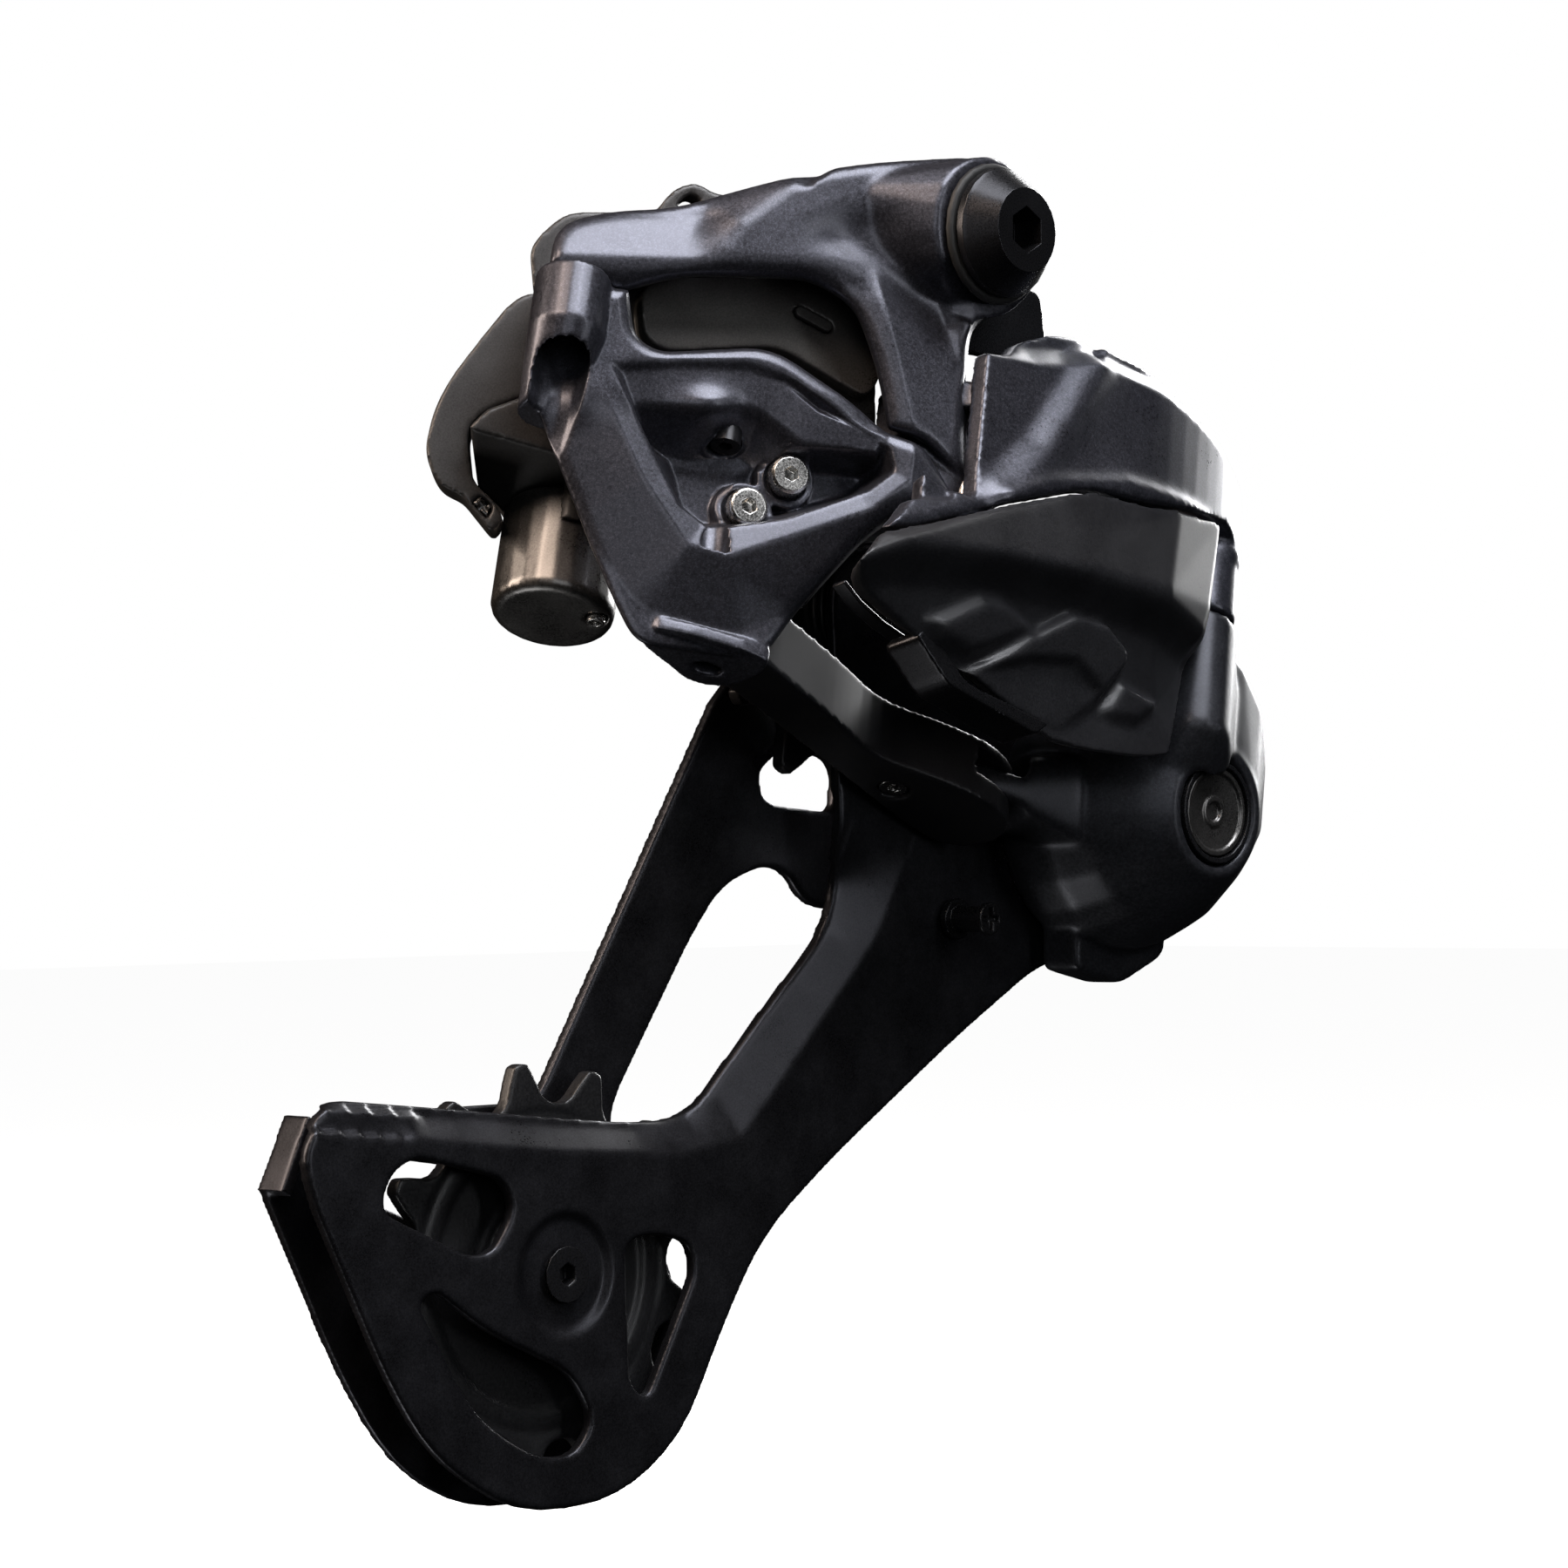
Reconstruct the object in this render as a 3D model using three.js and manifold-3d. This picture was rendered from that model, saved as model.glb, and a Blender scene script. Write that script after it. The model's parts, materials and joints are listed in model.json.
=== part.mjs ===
// Rear bicycle derailleur with a long cage and a wireless drive unit.
// Millimetres. +X bike-forward, +Y inboard towards the wheel, +Z up.
// The origin is where the hanger bolt's axis meets the hanger's outer face (Y = 0).
// Every turning axis of the knuckles, cage and pulleys lies along Y. The four link pins are parallel to
// one leaning pin axis, and the two links, the lower bracket and the battery are laid out in its frame.
import * as THREE from "three";
import { ConvexGeometry } from "three/addons/geometries/ConvexGeometry.js";
import { mergeVertices } from "three/addons/utils/BufferGeometryUtils.js";
import Module from "manifold-3d";

const wasm = await Module();
wasm.setup();

// ---- Driving dimensions ------------------------------------------------------------------------------------

const FIT = 0.3; // clearance between touching pieces
const RUN = 0.08; // radial running clearance of a pin in its hole
const SEGMENTS = 24; // round pieces
const FINE = 14; // small round pieces

// Hanger bolt and the knuckle's boss
const BOLT_FACE_Y = -25;
const BOLT_FACE_R = 6.5;
const BOLT_FLANGE_R = 9;
const BOLT_FLANGE_Y = -20;
const BOLT_SHANK_R = 4.6;
const BOLT_END_Y = 8;
const BOLT_HEX_R = 3.3;
const BOLT_HEX_DEPTH = 5;
const BOSS_R = 11;
const BOSS_OUT_Y = -18.4;
const BOSS_IN_Y = -2.5;
const BUSH_WALL = 1.4;
const STOP_PLATE_T = 2.2;

// Cage and pulleys
const CAGE_PIVOT = [43.2, -80.5]; // X, Z of the cage axis
const GUIDE_AXIS = [1.5, -51];
const TENSION_AXIS = [-61.1, -141.4];
const OUTER_PLATE_Y = 4.6;
const PLATE_T = 1.8;
const PLATE_GAP = 7.8; // between the two cage plates
const PULLEY_TEETH = 13;
const CHAIN_PITCH = 12.7;
const TOOTH_T = 2.3;
const ROLLER_R = 3.9;
const PULLEY_BORE_R = 4.4;
const PULLEY_SEAL_R = 8.6;
const PULLEY_BOLT_R = 2.5;
const PULLEY_BOLT_HEAD_R = 4;

// Links
const PIN_LEAN_FORWARD = 24.7; // degrees from upright
const PIN_LEAN_INBOARD = 16.3;
const PIN_R = 2.4;
const LINK_LENGTH = 55.5; // pivot to pivot, both links
const LINK_SWING = 40; // degrees from the outermost to the innermost gear
const LINK_TOE_IN = 1.5; // degrees the links lean inboard at rest
const OUTER_PIVOT = [9.2, -9.4]; // link frame x, y of the outer link's pivot on the bracket
const INNER_PIVOT = [-13.4, 14.1]; // the inner link's pivot on the bracket

// P-knuckle bowl
const BOWL_RIM_Y = 3.4;
const BOWL_R = 20;
const BOWL_WALL = 3.2;
const CAP_FACE_Y = -21.8;
const CAP_R = 7.6;
const CAP_COLLAR_R = 10.2;
const CAGE_AXLE_R = 5;

// ---- Frames ------------------------------------------------------------------------------------------------

const rad = THREE.MathUtils.degToRad;
const vec = (x, y, z) => new THREE.Vector3(x, y, z);
const UP = vec(0, 0, 1);

// Link frame: z along the pins, y inboard, x forward.
const pinAxis = vec(Math.tan(rad(PIN_LEAN_FORWARD)), Math.tan(rad(PIN_LEAN_INBOARD)), 1).normalize();
const linkInboard = vec(0, 1, 0).addScaledVector(pinAxis, -pinAxis.y).normalize();
const linkForward = linkInboard.clone().cross(pinAxis);
const LINK = new THREE.Matrix4().makeBasis(linkForward, linkInboard, pinAxis);

// Face frame: z along the outward normal of the bracket's front, x across it, y up it.
const FACE_NORMAL = vec(-0.42, -0.88, 0.216).normalize();
const faceUp = UP.clone().addScaledVector(FACE_NORMAL, -FACE_NORMAL.z).normalize();
const faceAcross = faceUp.clone().cross(FACE_NORMAL);
const FACE = new THREE.Matrix4().makeBasis(faceAcross, faceUp, FACE_NORMAL);

const linkTravel = [LINK_LENGTH * Math.cos(rad(LINK_TOE_IN)), LINK_LENGTH * Math.sin(rad(LINK_TOE_IN))];
const OUTER_FAR = [OUTER_PIVOT[0] + linkTravel[0], OUTER_PIVOT[1] + linkTravel[1]];
const INNER_FAR = [INNER_PIVOT[0] + linkTravel[0], INNER_PIVOT[1] + linkTravel[1]];

// ---- Solids ------------------------------------------------------------------------------------------------

// A closed geometry as a manifold solid, and back.
function solid(geometry) {
  const bare = geometry.clone();
  bare.deleteAttribute("normal");
  bare.deleteAttribute("uv");
  const merged = mergeVertices(bare, 1e-4);
  const triVerts = new Uint32Array(merged.index.array);
  const vertProperties = new Float32Array(merged.attributes.position.array);
  return new wasm.Manifold(new wasm.Mesh({ numProp: 3, vertProperties, triVerts }));
}

const TIDY = 0.006; // slivers thinner than this are merged away

function geometryOf(body) {
  const { vertProperties, triVerts } = body.asOriginal().simplify(TIDY).getMesh();
  return new THREE.BufferGeometry()
    .setAttribute("position", new THREE.BufferAttribute(vertProperties, 3))
    .setIndex(new THREE.BufferAttribute(triVerts, 1));
}

const join = (first, ...more) => geometryOf(more.reduce((sum, g) => sum.add(solid(g)), solid(first)));
const cut = (first, ...more) => geometryOf(more.reduce((left, g) => left.subtract(solid(g)), solid(first)));
const common = (first, second) => geometryOf(solid(first).intersect(solid(second)));

// A counterclockwise shape from [x, y] points; a point with a third number is rounded to that radius.
function outline(given) {
  const flat = given.map(([x, y]) => new THREE.Vector2(x, y));
  const points = THREE.ShapeUtils.isClockWise(flat) ? [...given].reverse() : given;
  const shape = new THREE.Shape();
  points.forEach(([x, y, r = 0], i) => {
    const before = points[(i + points.length - 1) % points.length];
    const after = points[(i + 1) % points.length];
    const here = new THREE.Vector2(x, y);
    const back = new THREE.Vector2(before[0], before[1]).sub(here);
    const on = new THREE.Vector2(after[0], after[1]).sub(here);
    const reach = Math.min(r, back.length() / 2.05, on.length() / 2.05);
    const start = here.clone().add(back.setLength(reach));
    const end = here.clone().add(on.setLength(reach));
    if (i === 0) shape.moveTo(start.x, start.y);
    else shape.lineTo(start.x, start.y);
    if (reach > 0) shape.quadraticCurveTo(x, y, end.x, end.y);
  });
  shape.closePath();
  return shape;
}

// A shape pushed along z from low to high, with chamfered edges where bevel is given.
function slab(shape, low, high, { bevel = 0, steps = 1, curve = 4 } = {}) {
  return new THREE.ExtrudeGeometry(shape, {
    depth: high - low - 2 * bevel,
    bevelEnabled: bevel > 0,
    bevelThickness: bevel,
    bevelSize: bevel,
    bevelOffset: -bevel,
    bevelSegments: steps,
    curveSegments: curve,
  }).translate(0, 0, low + bevel);
}

function round(x, y, r, count = SEGMENTS) {
  const turns = Array.from({ length: count }, (_, i) => (2 * Math.PI * i) / count);
  return new THREE.Shape(turns.map((a) => new THREE.Vector2(x + r * Math.cos(a), y + r * Math.sin(a))));
}

// A slab whose shape lies in the X-Z plane, from Y = low to Y = high.
const sidePlate = (shape, low, high, options) =>
  slab(shape, -high, -low, options).rotateX(Math.PI / 2);

// A cylinder along the z of its frame.
const rod = (x, y, r, low, high, sides = FINE) =>
  new THREE.CylinderGeometry(r, r, high - low, sides)
    .rotateX(Math.PI / 2)
    .translate(x, y, (low + high) / 2);

// A round piece about the Y axis from [radius, y] points, moved to X, Z.
const turned = (profile, [x, z] = [0, 0], sides = SEGMENTS) =>
  new THREE.LatheGeometry(profile.map(([r, y]) => new THREE.Vector2(r, y)), sides).translate(x, 0, z);

const cylinderY = (r, low, high, at, sides = SEGMENTS) =>
  turned([[0, low], [r, low], [r, high], [0, high]], at, sides);

// A slab in the link frame whose shape lies in its x-z plane, from y = low to y = high.
const linkSide = (shape, low, high, options) =>
  slab(shape, -high, -low, options).rotateX(Math.PI / 2);

const hull = (points) => new ConvexGeometry(points.map(([x, y, z]) => vec(x, y, z)));

// Points of a circle of radius r at height z, for a hull.
const ring = (x, y, r, z, count = 12) =>
  Array.from({ length: count }, (_, i) => {
    const turn = (2 * Math.PI * i) / count;
    return [x + r * Math.cos(turn), y + r * Math.sin(turn), z];
  });

const ringY = (x, z, r, y, count = 20) => ring(x, z, r, y, count).map(([a, b, c]) => [a, c, b]);

// ---- Materials ---------------------------------------------------------------------------------------------

const material = (color, roughness, metalness) => new THREE.MeshStandardMaterial({ color, roughness, metalness });
const PAINT = material(0x3e3f48, 0.42, 0.6);
const PLASTIC = material(0x2b2b2f, 0.45, 0);
const DARK = material(0x1d1d20, 0.5, 0.2);
const ANODISED = material(0x2f3034, 0.4, 0.8);
const PLATE = material(0x3a3a40, 0.45, 0.7);
const STEEL = material(0xa9a6a0, 0.35, 1);
const PULLEY = material(0x2c2c2f, 0.6, 0);
const RUBBER = material(0x151515, 0.8, 0);
const BRASS = material(0x9a8a5a, 0.45, 1);
const SATIN = material(0x77787c, 0.4, 0.8);

const derailleur = new THREE.Group();

function add(name, geometry, look, frame) {
  const mesh = new THREE.Mesh(geometry, look);
  mesh.name = name;
  if (frame) mesh.applyMatrix4(frame);
  derailleur.add(mesh);
}

// ---- Hanger side -------------------------------------------------------------------------------------------

const hex = (r, y, depth, at = [0, 0]) => cylinderY(r, y - 1, y + depth, at, 6);
const bushOuterR = BOLT_SHANK_R + RUN + BUSH_WALL;
const washerY = [BOLT_FLANGE_Y + FIT, BOSS_OUT_Y - FIT];
const stopPlateY = [BOSS_IN_Y + FIT, BOSS_IN_Y + FIT + STOP_PLATE_T];

function hangerBolt() {
  const coneY = BOLT_FACE_Y + 0.8;
  const body = turned([
    [0, BOLT_FACE_Y],
    [BOLT_FACE_R - 0.6, BOLT_FACE_Y],
    [BOLT_FACE_R, coneY],
    [BOLT_FLANGE_R - 0.5, BOLT_FLANGE_Y - 1.6],
    [BOLT_FLANGE_R, BOLT_FLANGE_Y - 1.1],
    [BOLT_FLANGE_R, BOLT_FLANGE_Y],
    [BOLT_SHANK_R, BOLT_FLANGE_Y],
    [BOLT_SHANK_R, BOLT_END_Y - 1],
    [BOLT_SHANK_R - 1, BOLT_END_Y],
    [0, BOLT_END_Y],
  ]);
  return cut(body, hex(BOLT_HEX_R, BOLT_FACE_Y, BOLT_HEX_DEPTH));
}

function stopPlate() {
  const plate = outline([
    [-9, 2, 4], [-6, -9, 5], [8, -13.5, 3], [24, -15, 2], [29, -12, 2], [28, -4, 2], [14, -3, 3], [9, 8, 4], [-4, 9, 5],
  ]);
  plate.holes.push(round(0, 0, BOLT_SHANK_R + RUN));
  return sidePlate(plate, ...stopPlateY);
}

add("hanger_bolt", hangerBolt(), ANODISED);
add("hanger_bolt_washer", turned([
  [BOLT_SHANK_R + FIT, washerY[0]],
  [BOLT_FLANGE_R + 0.4, washerY[0]],
  [BOLT_FLANGE_R + 0.9, washerY[0] + 0.4],
  [BOLT_FLANGE_R + 0.9, washerY[1]],
  [BOLT_SHANK_R + FIT, washerY[1]],
  [BOLT_SHANK_R + FIT, washerY[0]],
]), RUBBER);
add("hanger_bush", turned([
  [BOLT_SHANK_R + RUN, BOSS_OUT_Y + FIT],
  [bushOuterR, BOSS_OUT_Y + FIT],
  [bushOuterR, BOSS_IN_Y],
  [BOLT_SHANK_R + RUN, BOSS_IN_Y],
  [BOLT_SHANK_R + RUN, BOSS_OUT_Y + FIT],
]), BRASS);
add("stop_plate", stopPlate(), DARK);

// ---- B-knuckle: castings (face frame) ----------------------------------------------------------------------

const FRONT = 17; // the bracket's front plane
const ARM_DEPTH = 23;
const BRACKET_DEPTH = 12;
const CASTING_WALL = 3.2;
const SIDE_LEAN = [0.3, 0.2]; // how far the castings' sides drift across and up for each millimetre back
const GUIDE_ROOM_R = 31; // clear round the guide pulley
const guideRoomY = OUTER_PLATE_Y - 2;
const boltHoleR = bushOuterR + RUN;

const leanBack = new THREE.Matrix4().set(
  1, 0, -SIDE_LEAN[0], SIDE_LEAN[0] * FRONT,
  0, 1, -SIDE_LEAN[1], SIDE_LEAN[1] * FRONT,
  0, 0, 1, 0,
  0, 0, 0, 1,
);
const leanFrom = (z) => new THREE.Matrix4().makeTranslation(SIDE_LEAN[0] * (z - FRONT), SIDE_LEAN[1] * (z - FRONT), 0)
  .multiply(leanBack);
const leaning = (shape, low, high, options) => slab(shape, low, high, options).applyMatrix4(leanBack);
const toFace = (geometry) => geometry.applyMatrix4(FACE.clone().invert());
const linkToFace = (geometry) => toFace(geometry.applyMatrix4(LINK));
const guideRoom = () => toFace(cylinderY(GUIDE_ROOM_R, guideRoomY, guideRoomY + 70, GUIDE_AXIS));

// The bracket's lug for the outer link, and the ears of that link above and below it.
const OUTER_LUG = [-45.3, -28.7];
const LUG_R = 4.6;
// The room behind the bracket's front wall in which the inner link's eye turns, above the foot tab.
const INNER_ROOM = [-69.8, -59];

const BARREL = [-45.9, 15.8]; // link frame x, y of the left barrel
const BARREL_R = 5.2;
const BARREL_BORE_R = 3.7;
const BARREL_Z = [-46, -27];
const inFace = ([x, y, z]) => vec(x, y, z).applyMatrix4(FACE.clone().invert()).toArray();
const lugShape = (grow) => linkToFace(hull([
  ...ring(...OUTER_PIVOT, LUG_R + grow, OUTER_LUG[0] - grow), ...ring(...OUTER_PIVOT, LUG_R + grow, OUTER_LUG[1] + grow),
  [-1 - grow, -5 - grow, OUTER_LUG[0] + 3], [-1 - grow, -5 - grow, OUTER_LUG[1] + 4],
  [-grow, 1 + grow, OUTER_LUG[0] + 5], [-grow, 1 + grow, OUTER_LUG[1] + 4],
]));

function upperBracket() {
  const arm = leaning(outline([
    [-57.4, -12.4], [-55, -3.6, 4], [-47, -1.2, 4], [-38, -0.6, 6], [-28, 2.6, 6], [-10, 6.4, 6], [9, 8.2, 6],
    [15, 0, 6], [9, -11.6, 4], [3.8, -16.4, 5], [1.9, -30, 4], [1.2, -39.2], [-5, -34], [-10.2, -32.2],
    [-10.9, -24, 6], [-13.4, -14.2, 6], [-19, -10.8, 4], [-38, -10.8, 6], [-46, -13],
  ]), FRONT - ARM_DEPTH, FRONT, { bevel: 1.6, steps: 2 });
  const boss = toFace(cylinderY(BOSS_R, BOSS_OUT_Y, BOSS_IN_Y));
  const blend = hull([
    ...ringY(0, 0, BOSS_R, BOSS_OUT_Y).map(inFace), ...ringY(0, 0, BOSS_R, BOSS_OUT_Y + 9).map(inFace),
    [-17, 3.6, FRONT - 3], [-14, -6, FRONT - 3], [-19, 2, 4], [-15, -4.6, 4],
  ]);
  const hangerRoom = toFace(new THREE.BoxGeometry(90, 60, 90).translate(20, BOSS_IN_Y + 30, 0));
  const boltRoom = toFace(cylinderY(BOSS_R + 1.2, BOSS_OUT_Y - 30, BOSS_OUT_Y));
  const hole = toFace(cylinderY(boltHoleR, BOSS_OUT_Y - 9, BOSS_IN_Y + 9));
  const bay = leaning(outline([
    [-52, -15], [-51, -7, 3], [-36, -4, 4], [-14, 0, 4], [-10, -6, 4], [-8.6, -24, 4], [-9, -42], [-52, -42],
  ]), FRONT - ARM_DEPTH - 1, FRONT - CASTING_WALL);
  const pinHole = linkToFace(rod(...OUTER_PIVOT, PIN_R + RUN, OUTER_LUG[0] - 1, OUTER_LUG[1] + 1));
  const barrelRoom = linkToFace(rod(...BARREL, BARREL_R + FIT, BARREL_Z[0] - 9, BARREL_Z[1] + FIT));
  const earRooms = [
    linkToFace(rod(...OUTER_PIVOT, 7.4, OUTER_LUG[0] - 8, OUTER_LUG[0])),
    linkToFace(rod(...OUTER_PIVOT, 7.4, OUTER_LUG[1], OUTER_LUG[1] + 5)),
  ];
  return cut(
    join(cut(arm, bay), boss, blend, lugShape(0)),
    hangerRoom, boltRoom, hole, pinHole, barrelRoom, ...earRooms, guideRoom(),
  );
}

const TAB_T = 2;
const TAB_HOLE_R = 2.05;
const SCREWS = [[-30.3, -42.8], [-23.9, -38.2]];
const SCREW_R = 1.5;
const SCREW_HEAD_R = 2.8;
const POCKET_FLOOR = FRONT - 8;
const DOME = [-32.6, -29];
const DOME_SCREW = [-21.3, 8]; // link frame x, y
const DOME_SCREW_R = 2.1;
const DOME_SCREW_Z = [-42.8, -36];
const REAR_EAR_TOP = -52;

function lowerBracket() {
  const body = leaning(outline([
    [-56.6, -12.7], [-60.2, -22, 5], [-60.4, -28.6, 5], [-57.5, -35.2, 6], [-53.6, -47.2, 8], [-50.1, -57.1, 4],
    [-47.8, -62.2, 3], [-30.4, -64.4, 3], [-24.5, -57.1, 4], [-14, -46.7, 4], [-6.4, -42.6, 3], [0.6, -42],
    [-5.2, -34.8], [-10.6, -32.6], [-15.1, -28.8, 3], [-26.3, -21, 4], [-42.5, -22.2, 3], [-45.8, -20, 3],
    [-46, -13.4],
  ]), FRONT - BRACKET_DEPTH, FRONT, { bevel: 1.6, steps: 2 });
  const pocket = hull([
    ...[[-49, -25.2], [-41.4, -44], [-37, -47.2], [-26.7, -45.8], [-13.9, -41.4], [-9.6, -38.4], [-10, -34.6],
      [-24.4, -24.8], [-40, -24.2]].map(([x, y]) => [x, y, FRONT + 1]),
    ...[[-40, -31], [-38.4, -41.6], [-35.6, -44.2], [-27, -43], [-14.6, -39.8], [-12, -37.6], [-16, -34.4],
      [-26, -30]].map(([x, y]) => [x, y, POCKET_FLOOR]),
  ]);
  const dome = new THREE.SphereGeometry(1, 16, 10).scale(8, 6, 7).translate(...DOME, POCKET_FLOOR);
  const bosses = SCREWS.map(([x, y]) => rod(x, y, SCREW_HEAD_R + 1.4, POCKET_FLOOR - 2, FRONT - 5));
  const tabLow = INNER_ROOM[0] - TAB_T;
  const tab = linkToFace(slab(outline([
    [-26, 11, 1], [-24.5, 16.2, 3], [-18.6, 18.2, 4], [-11.6, 19.2, 4], [-7.6, 15.5, 4], [-8.5, 8, 3],
    [-11, 3.5, 1], [-15, 4.5, 1], [-22, 8, 1],
  ]), tabLow, INNER_ROOM[0]));
  const linkRoom = common(
    linkToFace(new THREE.BoxGeometry(70, 60, INNER_ROOM[1] - INNER_ROOM[0])
      .translate(5, 25, (INNER_ROOM[0] + INNER_ROOM[1]) / 2)),
    slab(outline([[-90, -90], [20, -90], [20, 0], [-90, 0]]), FRONT - 60, FRONT - CASTING_WALL),
  );
  const [barrelX, barrelY] = BARREL;
  const barrel = linkToFace(hull([
    ...ring(...BARREL, BARREL_R, BARREL_Z[1], SEGMENTS), ...ring(...BARREL, BARREL_R, BARREL_Z[1] - 9, SEGMENTS),
    ...ring(barrelX + 2, barrelY + 3.8, 4, BARREL_Z[0]),
  ]));
  const bore = linkToFace(rod(...BARREL, BARREL_BORE_R, BARREL_Z[0] - 10, BARREL_Z[1] - 7));
  const rearEar = linkToFace(hull([
    ...ring(...INNER_PIVOT, 4.6, INNER_ROOM[1]), ...ring(...INNER_PIVOT, 4.6, REAR_EAR_TOP),
    [-15, 6, INNER_ROOM[1]], [-8, 6, INNER_ROOM[1]], [-15, 6, REAR_EAR_TOP + 2], [-8, 6, REAR_EAR_TOP + 2],
  ]));
  const screwHole = linkToFace(rod(...DOME_SCREW, DOME_SCREW_R + FIT, -60, DOME_SCREW_Z[1] + FIT));
  const pinHoles = [
    linkToFace(rod(...INNER_PIVOT, TAB_HOLE_R, tabLow - 1, INNER_ROOM[0] + 1)),
    linkToFace(rod(...INNER_PIVOT, PIN_R + RUN, INNER_ROOM[1] - 1, REAR_EAR_TOP + 4)),
    ...SCREWS.map(([x, y]) => rod(x, y, SCREW_R + RUN, POCKET_FLOOR - 6, FRONT)),
  ];
  const headRooms = SCREWS.map(([x, y]) => rod(x, y, SCREW_HEAD_R + FIT, FRONT - 6, FRONT));
  return cut(
    join(cut(body, pocket, linkRoom), common(dome, body), ...bosses, tab, rearEar, barrel),
    bore, screwHole, ...pinHoles, ...headRooms, lugShape(FIT), guideRoom(),
  );
}

add("upper_bracket", upperBracket(), PAINT, FACE);
add("lower_bracket", lowerBracket(), PAINT, FACE);

// ---- B-knuckle: motor unit and small parts -----------------------------------------------------------------

const CASE_FRONT = 8;
const CASE_STEP = 4.4; // the case behind the lower bracket
const CASE_BACK = -14;
const BUTTON_ENDS = [[-18.5, -12.9], [-14.8, -14.9]];
const BUTTON_R = 0.75;
const BUTTON_Z = [CASE_FRONT - 2.8, CASE_FRONT + 0.5];
const BUTTON_TRAVEL = 0.5;
const COVER_FRONT = -2;
const COVER_SEAT = -6.4; // behind the arm
const CASE_LEFT = -44.6;

function pill(grow) {
  const [[ax, ay], [bx, by]] = BUTTON_ENDS;
  const along = new THREE.Vector2(bx - ax, by - ay).normalize();
  const turn = Math.atan2(along.y, along.x);
  const end = (x, y, start) => Array.from({ length: 7 }, (_, i) => {
    const a = start + (Math.PI * i) / 6;
    return new THREE.Vector2(x + (BUTTON_R + grow) * Math.cos(a), y + (BUTTON_R + grow) * Math.sin(a));
  });
  return new THREE.Shape([...end(bx, by, turn - Math.PI / 2), ...end(ax, ay, turn + Math.PI / 2)]);
}

function motorUnitCase() {
  const front = slab(outline([
    [-41.4, -9.8, 2], [-36, -8, 3], [-20, -7.6, 4], [-12, -8.8, 4], [-7.4, -12, 3], [-7.2, -22, 2], [-9.8, -25.2, 2],
    [-22.2, -17.8, 3], [-38.4, -19, 3], [-41.4, -17, 2],
  ]), CASE_STEP - 2, CASE_FRONT);
  const back = slab(outline([
    [CASE_LEFT, -8], [CASE_LEFT, -20], [-43, -26, 3], [-14, -34, 4], [-7.6, -31, 3], [-6, -13, 4], [-12, -8, 4],
    [-20, -6.4, 4], [-36, -6.8],
  ]), CASE_BACK, CASE_STEP);
  const armPocket = slab(pill(0.2), BUTTON_Z[0] - BUTTON_TRAVEL - 0.1, CASE_FRONT + 1);
  return cut(join(front, back), armPocket, lugShape(2 * FIT), guideRoom());
}

function innerCover() {
  const caseSide = slab(outline([[CASE_LEFT - FIT, 0], [CASE_LEFT - FIT, -50], [20, -50], [20, 0]]), CASE_BACK - 1, CASE_STEP);
  const shell = [
    [CASE_LEFT - FIT, -7.6], [-54.9, -7.6, 3], [-57.7, -9.6, 2], [-61.8, -14.5, 3], [-66.5, -20.3, 3],
    [-69.2, -25, 3], [-70.9, -31.2, 3], [-69.2, -35.6, 2], [-66.1, -37, 1], [-62.2, -42.4, 1], [-60.2, -40.4, 1],
    [-61.6, -37.6, 1], [-64.4, -35, 2], [-64.6, -27.4, 2], [-61.9, -24.8, 2], [-54.9, -22.1, 3], [CASE_LEFT - FIT, -20],
  ];
  const lip = shell.map(([x, y, r]) => [Math.min(x, -52), y, r]);
  return cut(
    join(slab(outline(shell), CASE_BACK, COVER_SEAT), slab(outline(lip), COVER_SEAT - 1, COVER_FRONT))
      .applyMatrix4(leanFrom(COVER_FRONT)),
    slab(outline(portOutline(FIT)), COVER_FRONT - 1.8, COVER_FRONT + 1),
    caseSide, barrelSide(), guideRoom(), linkToFace(rod(...CAN, CAN_R + FIT, CAN_Z[0] - 2, HOUSING_Z[0] + 1)),
  );
}

const PORT = [[-65, -37.8], [-63.2, -36.7], [-61.2, -38.4], [-62.4, -40.6]];
const portCentre = PORT.reduce(([a, b], [x, y]) => [a + x / PORT.length, b + y / PORT.length], [0, 0]);
const portOutline = (grow) => PORT.map(([x, y]) => {
  const away = new THREE.Vector2(x - portCentre[0], y - portCentre[1]);
  away.setLength(away.length() - 0.6 + grow);
  return [portCentre[0] + away.x, portCentre[1] + away.y];
});
const barrelSide = () => linkToFace(rod(...BARREL, BARREL_R + FIT, BARREL_Z[0] - 1, BARREL_Z[1] + 1));

function chargePortInsert() {
  const grooves = [0, 1].map((quarter) => new THREE.BoxGeometry(0.6, 2, 1.4)
    .rotateZ(0.6 + (quarter * Math.PI) / 2)
    .translate(...portCentre, COVER_FRONT - 0.2));
  return cut(slab(outline(portOutline(0)), COVER_FRONT - 1.5, COVER_FRONT - 0.2), ...grooves);
}

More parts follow.
